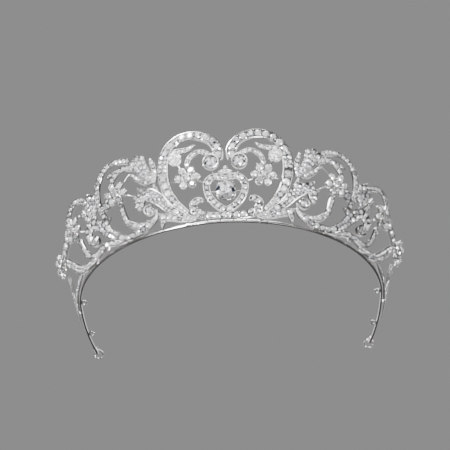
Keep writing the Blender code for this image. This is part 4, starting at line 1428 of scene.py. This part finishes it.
class TIARA_OT_flowers(bpy.types.Operator):
    """Build the raised flowers and their wires"""

    bl_idname = "tiara.flowers"
    bl_label = "Flowers"
    bl_options = {"REGISTER", "UNDO"}

    def execute(self, context):
        make_flowers()
        return {"FINISHED"}


class TIARA_OT_band(bpy.types.Operator):
    """Build the wire band, its sleeves, loops and end eyes"""

    bl_idname = "tiara.band"
    bl_label = "Band"
    bl_options = {"REGISTER", "UNDO"}

    def execute(self, context):
        make_band()
        return {"FINISHED"}


class TIARA_OT_rings(bpy.types.Operator):
    """Build the free rings in the end eyes"""

    bl_idname = "tiara.rings"
    bl_label = "End Rings"
    bl_options = {"REGISTER", "UNDO"}

    def execute(self, context):
        make_rings()
        return {"FINISHED"}


class TIARA_OT_stage(bpy.types.Operator):
    """Set up the floor, the lights and the camera"""

    bl_idname = "tiara.stage"
    bl_label = "Stage"
    bl_options = {"REGISTER", "UNDO"}

    def execute(self, context):
        make_floor()
        make_world()
        make_lamps()
        make_camera()
        return {"FINISHED"}


class TIARA_PT_panel(bpy.types.Panel):
    """Lists the tiara's settings and its steps"""

    bl_idname = "TIARA_PT_panel"
    bl_label = "Bridal Tiara"
    bl_space_type = "VIEW_3D"
    bl_region_type = "UI"
    bl_category = "Tiara"

    def draw(self, context):
        scene = context.scene
        for group in (scene.tiara_metal, scene.tiara_stones, scene.tiara_stage):
            for name in group.__annotations__:
                self.layout.prop(group, name)
        for step in STEPS:
            self.layout.operator(step.bl_idname)


# --- The stage -----------------------------------------------------------------------------

def make_floor():
    """A pale floor that shows from above only, so that the view from below passes through it."""
    shape = bmesh.new()
    bmesh.ops.create_grid(shape, x_segments=1, y_segments=1, size=2.5)
    mesh = bpy.data.meshes.new("floor")
    shape.to_mesh(mesh)
    shape.free()
    floor = bpy.data.objects.new("floor", mesh)
    floor.location.z = -0.00005
    bpy.context.scene.collection.objects.link(floor)
    material = bpy.data.materials.new("pale_floor")
    material.use_nodes = True
    nodes, links = material.node_tree.nodes, material.node_tree.links
    shader = nodes["Principled BSDF"]
    colour = nodes.new("ShaderNodeMix")
    colour.data_type = "RGBA"
    links.new(noise(nodes, links, 3.0), colour.inputs["Factor"])
    pale = bpy.context.scene.tiara_stage.floor
    colour.inputs["A"].default_value = (*pale, 1.0)
    colour.inputs["B"].default_value = (*[0.96 * c for c in pale], 1.0)
    links.new(colour.outputs["Result"], shader.inputs["Base Color"])
    shader.inputs["Roughness"].default_value = 0.7
    side = nodes.new("ShaderNodeNewGeometry")
    clear = nodes.new("ShaderNodeBsdfTransparent")
    choice = nodes.new("ShaderNodeMixShader")
    path = nodes.new("ShaderNodeLightPath")
    mirrored = math_node(nodes, links, "MULTIPLY", path.outputs["Is Glossy Ray"], 0.8)
    hidden = math_node(nodes, links, "MAXIMUM", side.outputs["Backfacing"], mirrored)
    links.new(hidden, choice.inputs["Fac"])
    links.new(shader.outputs["BSDF"], choice.inputs[1])
    links.new(clear.outputs["BSDF"], choice.inputs[2])
    links.new(choice.outputs["Shader"], nodes["Material Output"].inputs["Surface"])
    mesh.materials.append(material)


def make_world():
    """A pale surround to look at, and a dimmer one for the metal to mirror."""
    world = bpy.data.worlds.new("studio")
    world.use_nodes = True
    nodes, links = world.node_tree.nodes, world.node_tree.links
    seen = nodes["Background"]
    seen.inputs["Color"].default_value = SEEN_GREY
    mirrored = nodes.new("ShaderNodeBackground")
    mirrored.inputs["Color"].default_value = MIRRORED_GREY
    path = nodes.new("ShaderNodeLightPath")
    choice = nodes.new("ShaderNodeMixShader")
    links.new(path.outputs["Is Camera Ray"], choice.inputs["Fac"])
    links.new(mirrored.outputs["Background"], choice.inputs[1])
    links.new(seen.outputs["Background"], choice.inputs[2])
    links.new(choice.outputs["Shader"], nodes["World Output"].inputs["Surface"])
    bpy.context.scene.world = world


LAMPS = (
    ("key", (-0.35, -0.85, 0.40), 0.25, 0.25, 20.0),
    ("front", (0.0, -1.0, 0.05), 1.7, 0.22, 4.0),
    ("low", (0.25, -0.75, -0.60), 0.20, 0.20, 14.0),
    ("left", (-0.95, -0.40, -0.10), 0.25, 0.25, 13.0),
    ("right", (0.95, -0.35, -0.20), 0.25, 0.25, 13.0),
    ("top", (0.0, -0.25, 1.0), 0.5, 0.5, 10.0),
    ("rear", (0.0, 0.95, 0.45), 1.6, 1.0, 6.0),
)


def make_lamps():
    middle = Vector((0.0, -0.02, 0.02))
    for name, spot, width, height, power in LAMPS:
        lamp = bpy.data.lights.new(name, "AREA")
        lamp.shape = "RECTANGLE"
        lamp.size = width
        lamp.size_y = height
        lamp.energy = power * bpy.context.scene.tiara_stage.light
        made = bpy.data.objects.new(name, lamp)
        made.location = spot
        made.rotation_mode = "QUATERNION"
        made.rotation_quaternion = (middle - Vector(spot)).to_track_quat("-Z", "Y")
        bpy.context.scene.collection.objects.link(made)


def make_camera():
    """The view from in front and below, turned a little, aimed between the band and the crest."""
    stage = bpy.context.scene.tiara_stage
    target = Vector((0.0, WIDEST_LINE_Y * MM, 0.0008))
    flat = math.cos(stage.elevation)
    back = Vector((math.sin(VIEW_YAW) * flat, -math.cos(VIEW_YAW) * flat, math.sin(stage.elevation)))
    level = UP.cross(back).normalized()
    upright = back.cross(level)
    right = level * math.cos(VIEW_ROLL) - upright * math.sin(VIEW_ROLL)
    upward = level * math.sin(VIEW_ROLL) + upright * math.cos(VIEW_ROLL)
    spot = target + back * stage.distance
    aim = target + upward * AIM_ABOVE - right * AIM_LEFT
    back = (spot - aim).normalized()
    right = (right - back * right.dot(back)).normalized()
    data = bpy.data.cameras.new("view")
    data.sensor_width = 36.0
    data.lens = VIEW_LENS
    data.clip_start = 0.05
    data.clip_end = 20.0
    camera = bpy.data.objects.new("view", data)
    turn = Matrix((right, back.cross(right), back)).transposed().to_4x4()
    camera.matrix_world = Matrix.Translation(spot) @ turn
    bpy.context.scene.collection.objects.link(camera)
    bpy.context.scene.camera = camera


# --- Running it ----------------------------------------------------------------------------

STEPS = (
    TIARA_OT_heart, TIARA_OT_crest, TIARA_OT_wing, TIARA_OT_side,
    TIARA_OT_flowers, TIARA_OT_band, TIARA_OT_rings, TIARA_OT_stage,
)
CLASSES = (TiaraMetal, TiaraStones, TiaraStage, *STEPS, TIARA_PT_panel)


def register():
    for made in CLASSES:
        bpy.utils.register_class(made)
    bpy.types.Scene.tiara_metal = PointerProperty(type=TiaraMetal)
    bpy.types.Scene.tiara_stones = PointerProperty(type=TiaraStones)
    bpy.types.Scene.tiara_stage = PointerProperty(type=TiaraStage)


def unregister():
    for name in ("tiara_metal", "tiara_stones", "tiara_stage"):
        delattr(bpy.types.Scene, name)
    for made in reversed(CLASSES):
        bpy.utils.unregister_class(made)


def main():
    register()
    bpy.ops.tiara.heart()
    bpy.ops.tiara.crest()
    bpy.ops.tiara.wing()
    bpy.ops.tiara.side()
    bpy.ops.tiara.flowers()
    bpy.ops.tiara.band()
    bpy.ops.tiara.rings()
    bpy.ops.tiara.stage()
    for name in UNIT_SHAPES:
        if bpy.data.objects.get(name):
            bpy.data.objects.remove(bpy.data.objects[name])


if __name__ == "__main__":
    main()
